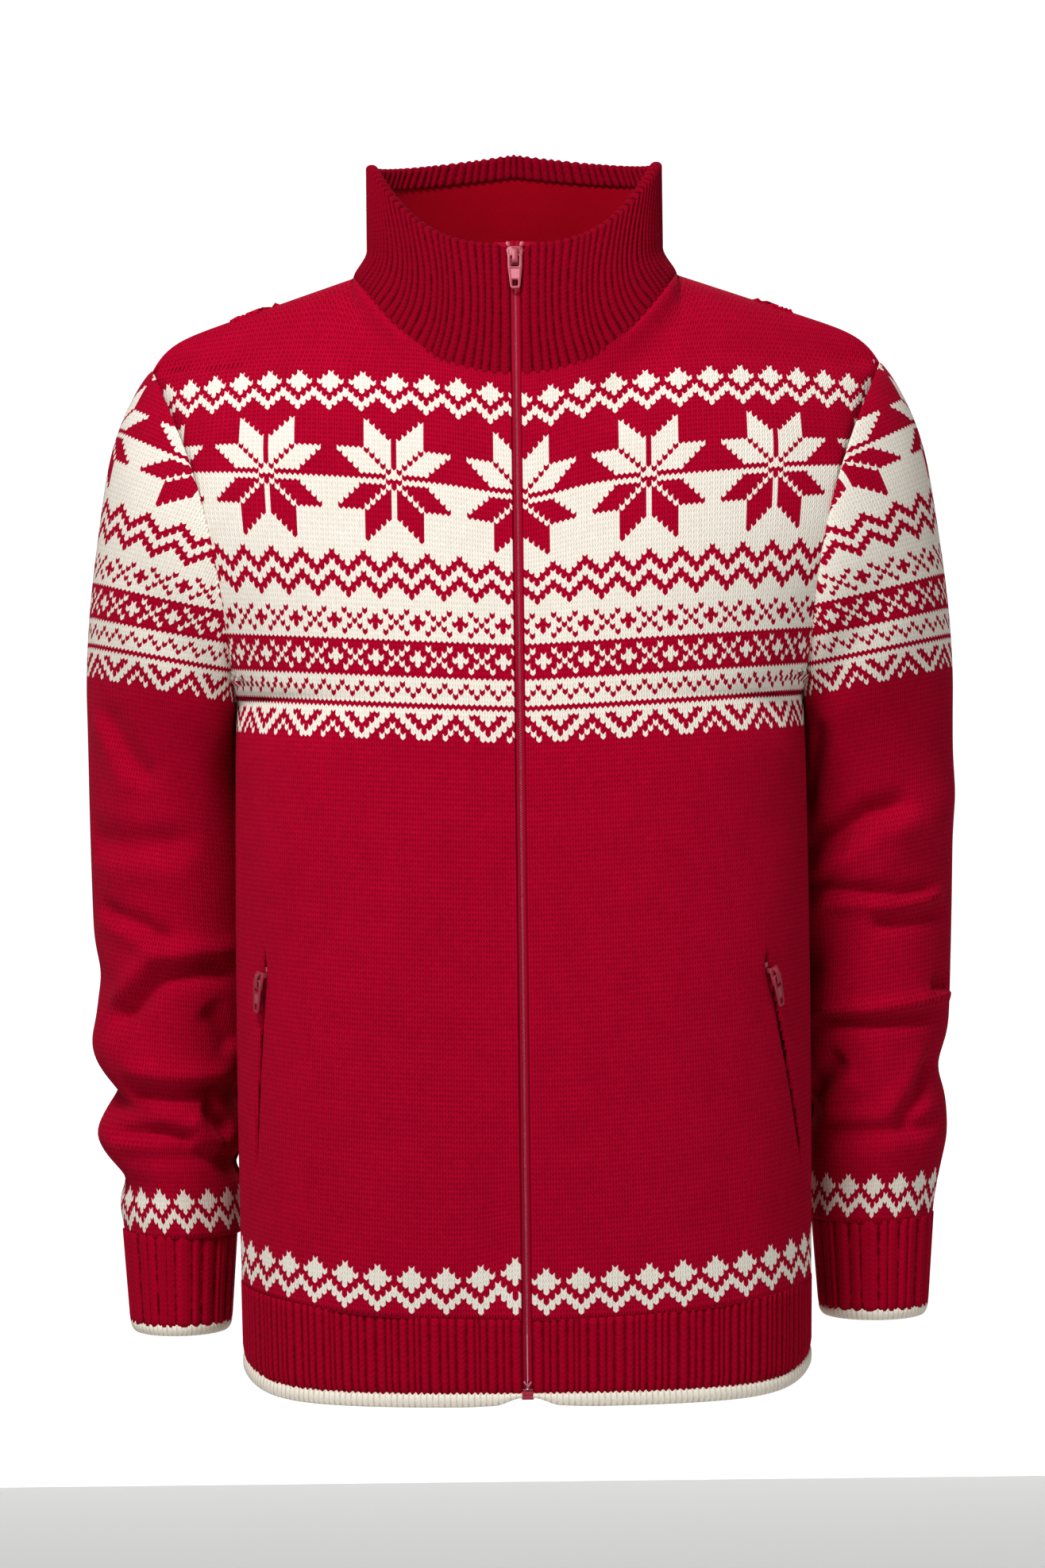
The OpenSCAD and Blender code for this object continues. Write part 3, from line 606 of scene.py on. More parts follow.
def rib_material(name, low, high, legs=1.0, groove=0.2):
    """Rib: chains of stitches on the raised columns, with painted shade in the grooves between them and
    between the loops and legs; low is the painted shade, high the yarn.
    """
    mat, g, shader = new_material(name, 0.92, 0.04)
    u, v, _ = g.split(g.coords("stitches"))
    loose = g.noise(g.coords(), 260.0, 2.0, 0.5)
    edge = g.math("SUBTRACT", 0.5, g.math("ABSOLUTE", g.math("SUBTRACT", g.math("FRACT", u), 0.5)))
    ridge = g.remap(g.math("ADD", edge, g.remap(loose, 0.3, 0.7, -0.07, 0.07)), 0.0, groove, 0.0, 1.0)
    side = g.math("ABSOLUTE", g.math("SUBTRACT", g.math("FRACT", g.math("MULTIPLY", u, legs)), 0.5))
    slant = g.math("FRACT", g.math("SUBTRACT", v, g.math("MULTIPLY", side, 1.3)))
    loop = g.math("POWER", g.math("SINE", g.math("MULTIPLY", slant, math.pi)), 0.5)
    fibre = g.noise(g.coords(), 2600.0, 3.0, 0.6)
    # Painted shade: darker in the grooves, between the loops and between the legs; the fibre noise adds
    # random tone.
    lit = g.math("MULTIPLY", ridge, g.remap(loop, 0.0, 0.9, 0.68, 1.0))
    leg = g.math("COSINE", g.math("MULTIPLY", side, 5.0))
    lit = g.math("MULTIPLY", lit, g.remap(leg, -0.8, 1.0, 0.75, 1.0))
    lit = g.math("MULTIPLY", lit, g.remap(fibre, 0.3, 0.75, 0.72, 1.12), clamp=True)
    g.link(g.colour(lit, low, high), shader.inputs["Base Color"])
    height = g.math("ADD", loop, g.math("MULTIPLY", fibre, 0.3))
    g.bump(height, 0.3, 0.0008, shader)
    return mat


def fleece_material(name, low, high):
    mat, g, shader = new_material(name, 0.95, 0.08)
    fine = g.noise(g.coords(), 1500.0, 4.0, 0.65)
    broad = g.noise(g.coords(), 40.0, 2.0, 0.5)
    tone = g.math("MULTIPLY", g.remap(fine, 0.3, 0.7, 0.6, 1.0), g.remap(broad, 0.3, 0.7, 0.9, 1.05))
    g.link(g.colour(tone, low, high), shader.inputs["Base Color"])
    g.bump(fine, 0.35, 0.0006, shader)
    return mat


def tape_material(name, low, high):
    """Close woven tape."""
    mat, g, shader = new_material(name, 0.75, 0.03)
    x, _, z = g.split(g.coords())
    weft = g.math("SINE", g.math("MULTIPLY", z, 2 * math.pi / 0.0007))
    warp = g.math("SINE", g.math("MULTIPLY", x, 2 * math.pi / 0.0006))
    weave = g.math("MULTIPLY", weft, warp)
    tone = g.remap(weave, -1.0, 1.0, 0.35, 1.0)
    grain = g.noise(g.coords(), 900.0, 2.0)
    tone = g.math("MULTIPLY", tone, g.remap(grain, 0.3, 0.7, 0.8, 1.05), clamp=True)
    g.link(g.colour(tone, low, high), shader.inputs["Base Color"])
    g.bump(weave, 0.3, 0.0002, shader)
    return mat


def plastic_material(name, low, high):
    mat, g, shader = new_material(name, 0.42)
    grain = g.noise(g.coords(), 700.0, 3.0)
    g.link(g.colour(g.remap(grain, 0.3, 0.7, 0.0, 1.0), low, high), shader.inputs["Base Color"])
    g.bump(grain, 0.15, 0.0002, shader)
    return mat


def metal_paint(name, deep, pale, low, high):
    """Satin red paint on cast metal, with a painted highlight that makes its sharp edges pale, and pale
    specks of random tone.
    """
    mat, g, shader = new_material(name, 0.45)
    shader.inputs["Metallic"].default_value = 0.1
    shader.inputs["Coat Weight"].default_value = 0.15
    shader.inputs["Coat Roughness"].default_value = 0.3
    point = g.node("ShaderNodeNewGeometry").outputs["Pointiness"]
    grain = g.noise(g.coords(), 1300.0, 3.0, 0.6)
    # Painted highlight: paler where the surface is sharply convex (pointiness from low to high); the grain
    # adds pale specks of random tone.
    edge_highlight_and_specks = g.math("ADD", g.remap(point, low, high, 0.0, 1.0), g.remap(grain, 0.55, 0.8, 0.0, 0.3), clamp=True)
    g.link(g.colour(edge_highlight_and_specks, deep, pale), shader.inputs["Base Color"])
    g.link(g.remap(grain, 0.3, 0.7, 0.38, 0.55), shader.inputs["Roughness"])
    g.bump(grain, 0.2, 0.00015, shader)
    return mat


KNIT = knit_material("patterned red and cream knit")
# Each rib's first colour is its painted groove shade, its second the yarn.
RIB = rib_material("red rib", (0.13, 0.0, 0.005), (0.38, 0.0004, 0.018), 1.0, 0.26)
# The collar's red rib is a darker copy of the hem rib's red: painted shade.
COLLAR_RIB = rib_material("red collar rib", (0.07, 0.0, 0.003), (0.27, 0.0002, 0.012), 1.0, 0.2)
CUFF_RIB = rib_material("red cuff rib", (0.10, 0.0, 0.004), (0.40, 0.0004, 0.019), 2.0, 0.1)
EDGE_KNIT = rib_material("cream edge knit", (0.60, 0.51, 0.40), (0.92, 0.87, 0.76), 1.0, 0.15)
FLEECE = fleece_material("dark red fleece", (0.13, 0.0, 0.004), (0.32, 0.0005, 0.008))
POCKETING = fleece_material("pocket cloth", (0.10, 0.0, 0.004), (0.22, 0.001, 0.012))
TAPE = tape_material("woven zip tape", (0.20, 0.001, 0.010), (0.44, 0.002, 0.026))
COIL = plastic_material("nylon coil", (0.34, 0.05, 0.09), (0.52, 0.14, 0.19))
BOX_PLASTIC = plastic_material("moulded end pieces", (0.30, 0.008, 0.025), (0.46, 0.02, 0.05))
# deep is the paint; pale is its painted edge highlight, fainter on the pocket zips' darker copy.
PAINT = metal_paint("painted zip metal", (0.30, 0.008, 0.032), (0.50, 0.12, 0.16), 0.52, 0.64)
DEEP_PAINT = metal_paint("deep red zip metal", (0.26, 0.004, 0.020), (0.42, 0.05, 0.08), 0.50, 0.62)


# ---------------------------------------------------------------- knitted panels
V_RISE = 0.5                    # how far a stitch's arms climb, in rows
CLOSING = 7.0                   # height below a top seam over which the rows draw together, mm
LOOSE = 60                      # rows of spare length past the top seam


def panel_share(point, columns, levels, stitch):
    """Share across the body of each column at each level."""
    us = np.linspace(0, 1, 260)
    zs = np.linspace(50, SHOULDER, 130)
    table = share_table(point, zs, us)
    out = np.empty((len(levels), len(columns)))
    for n, z in enumerate(levels):
        k = int(np.clip(np.searchsorted(zs, z) - 1, 0, len(zs) - 2))
        f = float(np.clip((z - zs[k]) / (zs[k + 1] - zs[k]), 0, 1))
        run = table[k] * (1 - f) + table[k + 1] * f
        out[n] = np.sign(columns) * np.interp(np.abs(columns) * stitch(z), run, us)
    return out


def stitch_width(z):
    return np.interp(z, [57, 400], [3.5, STITCH])


def outward(points):
    """Unit normals of a grid of points."""
    n = np.cross(np.gradient(points, axis=1), np.gradient(points, axis=0))
    length = np.linalg.norm(n, axis=2, keepdims=True)
    return np.where(length > 1e-4, n / np.maximum(length, 1e-4), 0)


def row_shift(columns, rows):
    """Rows, lifted where two stitches meet so that colours change along a V."""
    rise = V_RISE * (np.abs(columns % 1 - 0.5) * 2) ** 1.3
    return rows[:, None] + rise[None, :] * np.clip(rows[:, None], 0, 1)


def row_list(patterned, top):
    """Rows of the grid: every row in a pattern, every second in the plain part between."""
    yoke = top - YOKE_DEEP - 2
    return np.concatenate([np.arange(patterned), np.arange(patterned, yoke, 2), np.arange(yoke, top + 22)])


def stitch_map(columns, rows):
    grid = np.broadcast_arrays(columns[None, :], rows[:, None].astype(float))
    return np.stack(grid, -1)


def closing(z, limit):
    """Rows that draw closer and closer to the seam at the limit, and end on it."""
    short = np.maximum(0, limit[-1] - z[-1] + 2 * CLOSING)
    z = z + short * np.clip(np.arange(17 - len(z), 17) / 16, 0, 1)[:, None] ** 1.5
    over = np.clip((z - limit) / CLOSING + 1, 0, 3)
    left = (np.exp(-over) - np.exp(-3)) / (1 - np.exp(-3))
    z = np.where(over > 0, limit - CLOSING * left, z)
    z[-1] = limit[-1]
    return z


SLIT_ENDS = (266.0, 138.0)      # height of a pocket slit's ends, then their distance from the middle
SLIT_X = {"right": (159, 166), "left": (149, 171)}


def pocket_frame(side):
    """Middle and axes (across, inward, along) of a pocket zip, on the chord of its slit."""
    s = SIDES[side]
    ends = [solid_front(x, z) * [s, 1, 1] for z, x in zip(SLIT_ENDS, SLIT_X[side])]
    middle = (ends[0] + ends[1]) / 2
    along = ends[0] - ends[1]
    length = float(np.linalg.norm(along))
    along = along / length
    x, z = sum(SLIT_X[side]) / 2, sum(SLIT_ENDS) / 2
    a, b = (solid_front(x + d, z) for d in (-3, 3))
    yaw = s * math.atan2(b[1] - a[1], b[0] - a[0])
    lean = -math.asin(-along[0] * math.sin(yaw) + along[1] * math.cos(yaw))
    roll = math.atan2(along[0] * math.cos(yaw) + along[1] * math.sin(yaw), along[2])
    turn = Matrix.Rotation(yaw, 3, "Z") @ Matrix.Rotation(roll, 3, "Y") @ Matrix.Rotation(lean, 3, "X")
    axes = np.array(turn)
    lift = 1.3 if s < 0 else 2.6
    return middle - axes[:, 1] * lift, axes, length


def solid_front(x, z):
    """Point of the front at distance x from the middle."""
    wide = float(half_width(z))
    return front_pt(np.float64((x - ZIP_EDGE) / (wide - ZIP_EDGE)), np.float64(z))


POCKETS = {side: pocket_frame(side) for side in SIDES}
SLIT = 0.5                      # half the opening left between a pocket's knit edges


def slit_depth(side, points):
    """How far in the knit turns beside its pocket zip, and the distance from the slit."""
    middle, axes, length = POCKETS[side]
    local = (points * [SIDES[side], 1, 1] - middle) @ axes
    ends = smooth((length / 2 + 2 - np.abs(local[..., 2])) / 4)
    return 2.2 * bell(local[..., 0], 2.2) * ends, local


def sag(side, u, z):
    """How far the yoke's upper rows sink beside the zip and towards the sleeves."""
    deep = 4.5 if side == "right" else 7.5
    drop = 12 * np.clip((u - 0.5) / 0.5, 0, 1) ** 2 * smooth((z - 530) / 90)
    return drop + deep * bell(u, 0.17) * smooth((z - 470) / 70)


def front_knit(side):
    s = SIDES[side]
    first, parts, wide = (2.5 if s < 0 else 1.0), 4, 75
    rows = row_list(14, YOKE_ROWS)
    columns = first + np.arange(wide * parts + 1) / parts
    spare = np.arange(rows[-1] + LOOSE)
    base = row_levels(front_pt, 0.35, RIB_TOP, SHOULDER, spare, ROW)
    shifted = row_shift(columns, rows)
    if s < 0:
        near = 2.2 * bell(columns[None, :] - first, 6) * smooth(rows[:, None] / 6)
        shifted = shifted + near * bell(rows[:, None] - 9, 15)
    levels = np.interp(shifted, spare, base)
    share = panel_share(front_pt, columns - first, base[rows], stitch_width)
    z = levels + dip(share, levels) - sag(side, share, levels)
    xt = ZIP_EDGE + (TIP_HALF - ZIP_EDGE) * share
    limit = top_z(xt, False) + 1.5 * smooth((NECK_HALF - xt) / 12)
    z = closing(z, limit)
    pts = front_pt(share, z)
    leg = np.sin(np.pi * np.abs(columns % 1 - 0.5) * 2) - 0.5
    free = smooth((1 - share) / 0.04) * smooth(share / 0.02) * smooth((limit - z) / 5)
    wave = 1.2 * np.sin(share * 9 + z / 55 + s) * np.sin(z / 83 + 2 * s) * smooth((450 - z) / 200)
    wave = wave + 1.4 * bell(share - 0.82, 0.12) * np.sin(z / 22 + s) * bell(z - 340, 90)
    deep, _ = slit_depth(side, pts)
    pts = pts + outward(pts) * ((0.25 * leg[None, :] + wave - deep) * free)[:, :, None]
    _, local = slit_depth(side, pts)
    slot = (np.abs(local[..., 0]) < SLIT) & (np.abs(local[..., 2]) < POCKETS[side][2] / 2)
    pts[:, :, 0] *= s

    def yarn(c, r):
        return panel_chart(c, r, YOKE_ROWS, 3)

    return grid_cloth(pts, stitch_map(columns, rows), s < 0, yarn, cut=slot, merge=3e-5)


def back_knit():
    parts, wide, top = 2, 76, 186
    rows = row_list(12, top)
    columns = wide - np.arange(2 * wide * parts + 1) / parts
    spare = np.arange(rows[-1] + LOOSE)
    base = row_levels(back_pt, 0.3, RIB_TOP + HEM_RISE, SHOULDER, spare, ROW)
    z = np.interp(row_shift(columns, rows), spare, base)
    share = panel_share(back_pt, columns, base[rows], lambda z: 3.4)
    xt = TIP_HALF * np.abs(share)
    limit = top_z(xt, True) + 1.5 * smooth((NECK_HALF - xt) / 12)
    z = closing(z, limit)
    pts = back_pt(share, z)
    free = smooth((1 - np.abs(share)) / 0.04) * smooth((limit - z) / 5)
    wave = 1.6 * np.sin(share * 5 + z / 60) * np.sin(z / 90 + 1) * smooth((520 - z) / 200)
    ridge = 0.25 * np.cos(2 * np.pi * (columns - 0.5))
    pts = pts + outward(pts) * ((ridge[None, :] + wave) * free)[:, :, None]

    def yarn(c, r):
        return panel_chart(c, r, top)

    return grid_cloth(pts, stitch_map(columns, rows), False, yarn, merge=3e-5)


SLEEVE_YOKE = 435.7             # level at which the sleeve's yoke pattern begins
SLEEVE_ROW = 3.0


def sleeve_knit(side):
    s = SIDES[side]
    ring, parts, star_at = 113, 2, (281 if s < 0 else 286)
    low = sleeve_foot(side)
    plain = round((SLEEVE_YOKE - low) / 3.05)
    above = SLEEVE_YOKE + SLEEVE_ROW * np.arange(1, 81)
    rho = np.concatenate([np.linspace(low - 1, SLEEVE_YOKE, plain + 1), above])
    rows = np.arange(plain + 76)
    columns = round((180 - star_at) / 3.2) + np.arange(ring * parts + 1) / parts
    level = np.interp(row_shift(columns, rows), np.arange(len(rho)), rho)
    ts = np.linspace(0, 1, 500)
    step = mix(3.2, 3.8, smooth((ts - 0.2) / 0.6))
    t = np.empty_like(level)
    angles = np.empty_like(level)
    for n, c in enumerate(columns):
        a = np.clip(star_at + step * c, 180, 540)
        p = sleeve_pt(side, ts, a)
        tilt = np.interp(p[:, 2], [100, 250, 470, 520, 580, 627], [0, 0.15, 0.19, 0.28, 0.45, 0.5])
        rise = np.minimum.accumulate(p[:, 2] - tilt * (np.abs(p[:, 0]) - 226))
        t[:, n] = np.interp(level[:, n], rise[::-1], ts[::-1])
        angles[:, n] = np.interp(t[:, n], ts, a)
    pts = sleeve_pt(side, t, angles)
    ridge = 0.25 * np.cos(2 * np.pi * (columns - 0.5))
    free = smooth(t / 0.03) * smooth((1 - t) / 0.01)
    pts[:, :, 0] *= s
    pts = pts + outward(pts) * (ridge[None, :] * free)[:, :, None]
    pts[:, :, 0] *= s

    def yarn(c, r):
        return panel_chart(c, r, plain + YOKE_DEEP)

    return grid_cloth(pts, stitch_map(columns, rows), s < 0, yarn, ring=True)


# ---------------------------------------------------------------- ribs
def rib_profile(columns, flat):
    """Height of a rib across its columns, -1 to 1; flat widens its top."""
    wave = np.cos(2 * np.pi * (columns - 0.5))
    return np.tanh(flat * wave) / np.tanh(flat)


def rib_mesh(place, ribs, parts, rows, long, relief, flat=0.8, flip=False, ring=False):
    """place maps share across and share up to points; ribs are spread evenly across."""
    columns = np.arange(ribs * parts + 1) / parts
    up = np.arange(rows + 1) / rows
    across = columns / ribs
    across = across + (0.22 * np.sin(10 * np.pi * across) + 0.16 * np.sin(26 * np.pi * across)) / ribs
    pts = place(*(np.array(grid) for grid in np.broadcast_arrays(across[None, :], up[:, None])))
    normal = outward(pts)
    if ring:
        ends = normal[:, 1] + normal[:, -2]
        normal[:, 0] = normal[:, -1] = ends / np.linalg.norm(ends, axis=1, keepdims=True)
    if flip:
        normal = -normal
    pts = pts + normal * (relief * rib_profile(columns, flat))[None, :, None]
    return grid_cloth(pts, stitch_map(columns, up * long / ROW), flip, ring=ring)


def even_share(point, z):
    """Share of the distance along one level, the shares across there, and the whole distance."""
    us = np.linspace(-1, 1, 600) if point is back_pt else np.linspace(0, 1, 400)
    along = run_length(point(us, np.full_like(us, z)))
    return along / along[-1], us, along[-1]


HEM_RIB = 5                     # width of a hem rib
COLLAR_PITCH = 5.2              # width of a collar rib


def hem_rib(side):
    run, us, long = even_share(front_pt, 30.0)

    def place(f, h):
        u = np.interp(f, run, us)
        z = mix(EDGE - 0.5 + low_z(u), RIB_TOP + 0.8 + hem_z(u), h)
        return front_on(side, u, z, 1.2 * (1 - smooth(h / 0.15)))

    return rib_mesh(place, round(long / HEM_RIB), 6, 12, 46, 0.42, 1.4, flip=SIDES[side] < 0)


def back_rib():
    run, us, long = even_share(back_pt, 40.0)

    def place(f, h):
        u = -np.interp(f, run, us)
        z = mix(EDGE - 0.5, RIB_TOP + 0.8, h) + HEM_RISE
        return back_pt(u, z, 1.2 * (1 - smooth(h / 0.15)))

    return rib_mesh(place, round(long / HEM_RIB), 6, 12, 46, 0.42, 1.4)


def cuff_rib(side):
    def place(f, h):
        return cuff_pt(side, 180 + 360 * f, mix(EDGE - 0.5, CUFF_TALL + 0.5, h), 0.3)

    return rib_mesh(place, 29, 10, 14, 57, 0.6, 3.2, flip=SIDES[side] < 0, ring=True)


TURN = 3.2                      # radius of the collar's turned edge
LEAN = 0.02                     # how far the collar's ribs bow towards the zip half way up
TURN_DOWN = 0.155               # share of the collar's height that the turned part covers


def collar_profile():
    """Height share, inset and lift of the collar's cloth, up outside and down inside."""
    tuck = [(-0.04, 1.8, 0.0), (-0.015, 0.7, 0.0)]
    rise = tuck + [(h, 0.0, 0.0) for h in np.linspace(0, 1.0, 30)]
    over = [(1.0, TURN * (1 - math.cos(a)), 2.2 * math.sin(a)) for a in np.linspace(0, math.pi, 8)[1:-1]]
    down = [(1.0 - TURN_DOWN * k, 2 * TURN, 0.0) for k in np.linspace(0, 1, 6)]
    return np.array(rise + over + down)


def collar_knit():
    profile = collar_profile()
    qs = np.linspace(0, 1, 700)
    runs = []
    for h, inset, _ in profile:
        along = run_length(collar_pt(qs, np.full_like(qs, h), inset))
        runs.append((along / along[-1], along[-1]))
    ribs, parts = round(runs[31][1] / COLLAR_PITCH), 6
    columns = np.arange(ribs * parts + 1) / parts
    pts = np.empty((len(profile), len(columns), 3))
    for n, (h, inset, lift) in enumerate(profile):
        across = columns / ribs
        across = across - LEAN * np.sin(2 * np.pi * across) * np.sin(np.pi * np.clip(h, 0, 1))
        across = across + (0.2 * np.sin(14 * np.pi * across) + 0.12 * np.sin(38 * np.pi * across)) / ribs
        q = 1 - np.interp(across, runs[n][0], qs)
        pts[n] = collar_pt(q, np.full_like(q, h), inset)
        pts[n, :, 2] += lift
    near = np.minimum(columns, ribs - columns) * COLLAR_PITCH
    corner = 4.2 * (1 - smooth(near / 7))[None, :] * smooth((profile[:, 0] - 0.8) / 0.2)[:, None]
    pts[:, :, 2] -= corner
    pts = pts + outward(pts) * (0.5 * rib_profile(columns, 1.6))[None, :, None]
    up = run_length(pts[:, 3]) / ROW
    return grid_cloth(pts, stitch_map(columns, up))


# ---------------------------------------------------------------- linings, pocket bags
def plain_cloth(across, up, place, flip=False):
    """Smooth cloth; place maps share across and share up to points."""
    f, h = np.meshgrid(np.linspace(0, 1, across + 1), np.linspace(0, 1, up + 1))
    return grid_cloth(place(f, h), np.stack([f * across, h * up], -1), flip)


def front_lining(side):
    def place(f, h):
        u = mix(0.045, 0.965, f)
        high = top_z(ZIP_EDGE + (TIP_HALF - ZIP_EDGE) * u, False) - 13
        return front_on(side, u, mix(RIB_TOP + 2 + hem_z(u), high, 1 - (1 - h) ** 1.15), 9.0)

    return plain_cloth(40, 90, place, SIDES[side] < 0)


def back_lining():
    def place(f, h):
        u = mix(0.965, -0.965, f)
        high = top_z(TIP_HALF * np.abs(u), True) - 9
        return back_pt(u, mix(RIB_TOP + 2 + HEM_RISE, high, 1 - (1 - h) ** 1.15), 8.5)

    return plain_cloth(70, 90, place)


def collar_lining():
    def place(f, h):
        q = mix(0.975, 0.025, f)
        return collar_pt(q, mix(-0.06, 0.93, h), 4.3)

    return plain_cloth(120, 24, place)


def pocket_bag(side):
    s = SIDES[side]

    def place(f, h):
        return front_on(side, mix(0.3, 0.8, f) * (1 if s < 0 else 0.97), mix(96, 278, h), 3.9)

    return plain_cloth(24, 36, place, s < 0)


# ---------------------------------------------------------------- cream edges
EDGE_STITCH = 3.6               # width of a stitch along the edge


def edge_mesh(place, stitches, flip=False, ring=False):
    """Rolled edge: a flat rounded section swept along; its upper lip runs in small points."""
    parts, around = 2, 12
    f = np.arange(stitches * parts + 1) / (stitches * parts)
    turn = 2 * np.pi * np.arange(around + 1) / around
    deep = 1.9 * np.sign(np.cos(turn)) * np.abs(np.cos(turn)) ** 0.7
    high = EDGE / 2 + 3.5 * np.sign(np.sin(turn)) * np.abs(np.sin(turn)) ** 0.7
    points = np.where(np.arange(len(f)) % 2 == 0, 1.1, -0.3)
    lip = np.maximum(0, np.sin(turn)) ** 3
    pts = np.empty((around + 1, len(f), 3))
    for n in range(around + 1):
        pts[n] = place(f, high[n] + lip[n] * points, 1.3 + deep[n])
    uv = stitch_map(np.arange(len(f)) / parts, np.linspace(0, 4, around + 1))
    mesh = grid_cloth(pts, uv, flip, ring=True)
    if not ring:
        close_holes(mesh)
    return mesh


def front_edge(side):
    run, us, long = even_share(front_pt, 8.0)

    def place(f, h, inset):
        u = np.interp(f, run, us)
        full = 0.42 + 0.58 * smooth(f * long / 17)
        below = 1.3 * (1 - h / EDGE) * smooth(f * long / 40)
        return front_on(side, u, EDGE + 0.6 - (EDGE + 0.6 - h) * full - below + low_z(u), inset)

    return edge_mesh(place, round(long / EDGE_STITCH), SIDES[side] > 0)


def back_edge():
    run, us, long = even_share(back_pt, 20.0)

    def place(f, h, inset):
        u = -np.interp(f, run, us)
        return back_pt(u, h + HEM_RISE, inset)

    return edge_mesh(place, round(long / EDGE_STITCH), True)


def cuff_edge(side):
    def place(f, h, inset):
        return cuff_pt(side, 180 + 360 * f, h, inset)

    return edge_mesh(place, 64, SIDES[side] > 0, ring=True)


# ---------------------------------------------------------------- zips
def zip_point(x, out, z):
    """Point beside the front zip: x across, out from the knit's face, z above the hem."""
    b = np.arcsin((z - ZIP_Z) / ZIP_RADIUS)
    r = ZIP_RADIUS + out
    return np.stack(np.broadcast_arrays(x, ZIP_Y - r * np.cos(b), ZIP_Z + r * np.sin(b)), -1)


def front_tape(side):
    s = SIDES[side]
    xs = np.array([SEAM, 0.5, 0.6, 0.9, 1.6, 2.5, 3.2, 4.2, 8.0, 12.3])
    out = np.array([-2.6, -2.5, -1.9, -1.5, -1.4, -1.6, -2.1, -3.1, -3.3, -3.35])
    foot = np.where(xs < 3.8, 9.0, 3.5)
    z = mix(foot[None, :], 708.5, np.linspace(0, 1, 171)[:, None])
    return grid_cloth(zip_point(s * xs[None, :], out[None, :], z), stitch_map(xs, z[:, 0] / ROW), s < 0)


def in_frame(point):
    """A point in mm above the hem, as a vector in metres from the shoulder line."""
    return (Vector(point.tolist()) - Vector((0, 0, SHOULDER))) * MM


SEAM = 0.04                     # half the gap between the two halves of the front zip
COIL_PITCH = 1.5                # height of a turn of the front zip's coil
COIL_FOOT = 14.0                # height at which the coil begins


def coil_mesh(point, x0, x1, n0, n1, z0, z1, pitch):
    """Flattened spiral of round wire between x0 and x1, from depth n0 to n1."""
    steps, around, wire = 8, 6, 0.3
    turns = int((z1 - z0) / pitch)
    phase = 2 * np.pi * np.arange(turns * steps + 1) / steps
    cx, cn = (x0 + x1) / 2, (n0 + n1) / 2
    rx, rn = abs(x1 - x0) / 2 - wire, abs(n1 - n0) / 2 - wire
    turn = 2 * np.pi * np.arange(around + 1) / around
    z = z0 + pitch * phase / (2 * np.pi)
    grow = wire * np.cos(turn)[:, None]
    x = cx + (rx + grow) * np.cos(phase)[None, :]
    n = cn + (rn + grow) * np.sin(phase)[None, :]
    pts = point(x, n, z[None, :] + wire * np.sin(turn)[:, None])
    mesh = grid_cloth(pts, stitch_map(phase, turn), ring=True)
    close_holes(mesh)
    return mesh


def coil_heads(mesh, side):
    """Adds the short steps of the coil that show as a fine seam between the tapes."""
    s = SIDES[side]
    tall = 0.62 * COIL_PITCH
    with editing(mesh) as bm:
        for n in range(int((704 - COIL_FOOT) / COIL_PITCH)):
            z = COIL_FOOT + COIL_PITCH * n + (0 if s < 0 else COIL_PITCH / 2)
            corners = []
            for x, out in ((SEAM, -2.0), (0.62, -1.95), (0.62, -2.8), (SEAM, -2.8)):
                for lift in (-tall / 2, tall / 2):
                    point = zip_point(s * x, out, z + lift + 0.25 * (x - SEAM))
                    corners.append(bm.verts.new(in_frame(point)))
            for a, b in ((0, 2), (2, 4), (4, 6), (6, 0)):
                order = (a, b, b + 1, a + 1) if s < 0 else (b, a, a + 1, b + 1)
                bm.faces.new([corners[k] for k in order])
            for k in (0, 1):
                ring = [corners[n + k] for n in (0, 2, 4, 6)]
                bm.faces.new(ring if (k == 0) == (s > 0) else ring[::-1])


def crossed_end(mesh, start, end):
    """Adds the short stiff end of a coil, which crosses the other one above the box."""
    a, b = in_frame(start), in_frame(end)
    with editing(mesh) as bm:
        before = set(bm.verts)
        bmesh.ops.create_cone(bm, cap_ends=True, segments=10, radius1=0.0006, radius2=0.00045,
                              depth=(b - a).length)
        made = [v for v in bm.verts if v not in before]
        turn = (b - a).to_track_quat("Z", "Y").to_matrix()
        bmesh.ops.rotate(bm, verts=made, matrix=turn, cent=(0, 0, 0))
        bmesh.ops.translate(bm, verts=made, vec=(a + b) / 2)
        for f in bm.faces:
            f.smooth = True


def pushed(bm, faces, vec):
    """Extrudes the faces along the vector and returns the moved corners."""
    made = bmesh.ops.extrude_face_region(bm, geom=faces)["geom"]
    moved = [g for g in made if isinstance(g, bmesh.types.BMVert)]
    bmesh.ops.translate(bm, verts=moved, vec=vec)
    return moved


def round_edges(bm, edges, bevel, segments=2):
    bmesh.ops.bevel(bm, geom=list(edges), offset=bevel, offset_type="OFFSET", segments=segments,
                    profile=0.5, affect="EDGES", material=-1, clamp_overlap=True)


def prism(bm, corners, vec, bevel=0.0, segments=2):
    """Solid between a loop of corners and the same loop moved along the vector."""
    verts = [bm.verts.new(corner) for corner in corners]
    moved = pushed(bm, [bm.faces.new(verts)], vec)
    whole = {f for v in verts + moved for f in v.link_faces}
    bmesh.ops.recalc_face_normals(bm, faces=list(whole))
    if bevel:
        round_edges(bm, {e for f in whole for e in f.edges}, bevel, segments)


def slab(bm, outline, y0, y1, bevel=0.0, segments=2):
    """Flat plate with the given outline (across, along), from depth y0 to y1."""
    prism(bm, [(x, y0, z) for x, z in outline], (0, y1 - y0, 0), bevel, segments)


def block(bm, low, high, bevel=0.0):
    (x0, y0, z0), (x1, y1, z1) = low, high
    slab(bm, [(x0, z0), (x1, z0), (x1, z1), (x0, z1)], y0, y1, bevel)


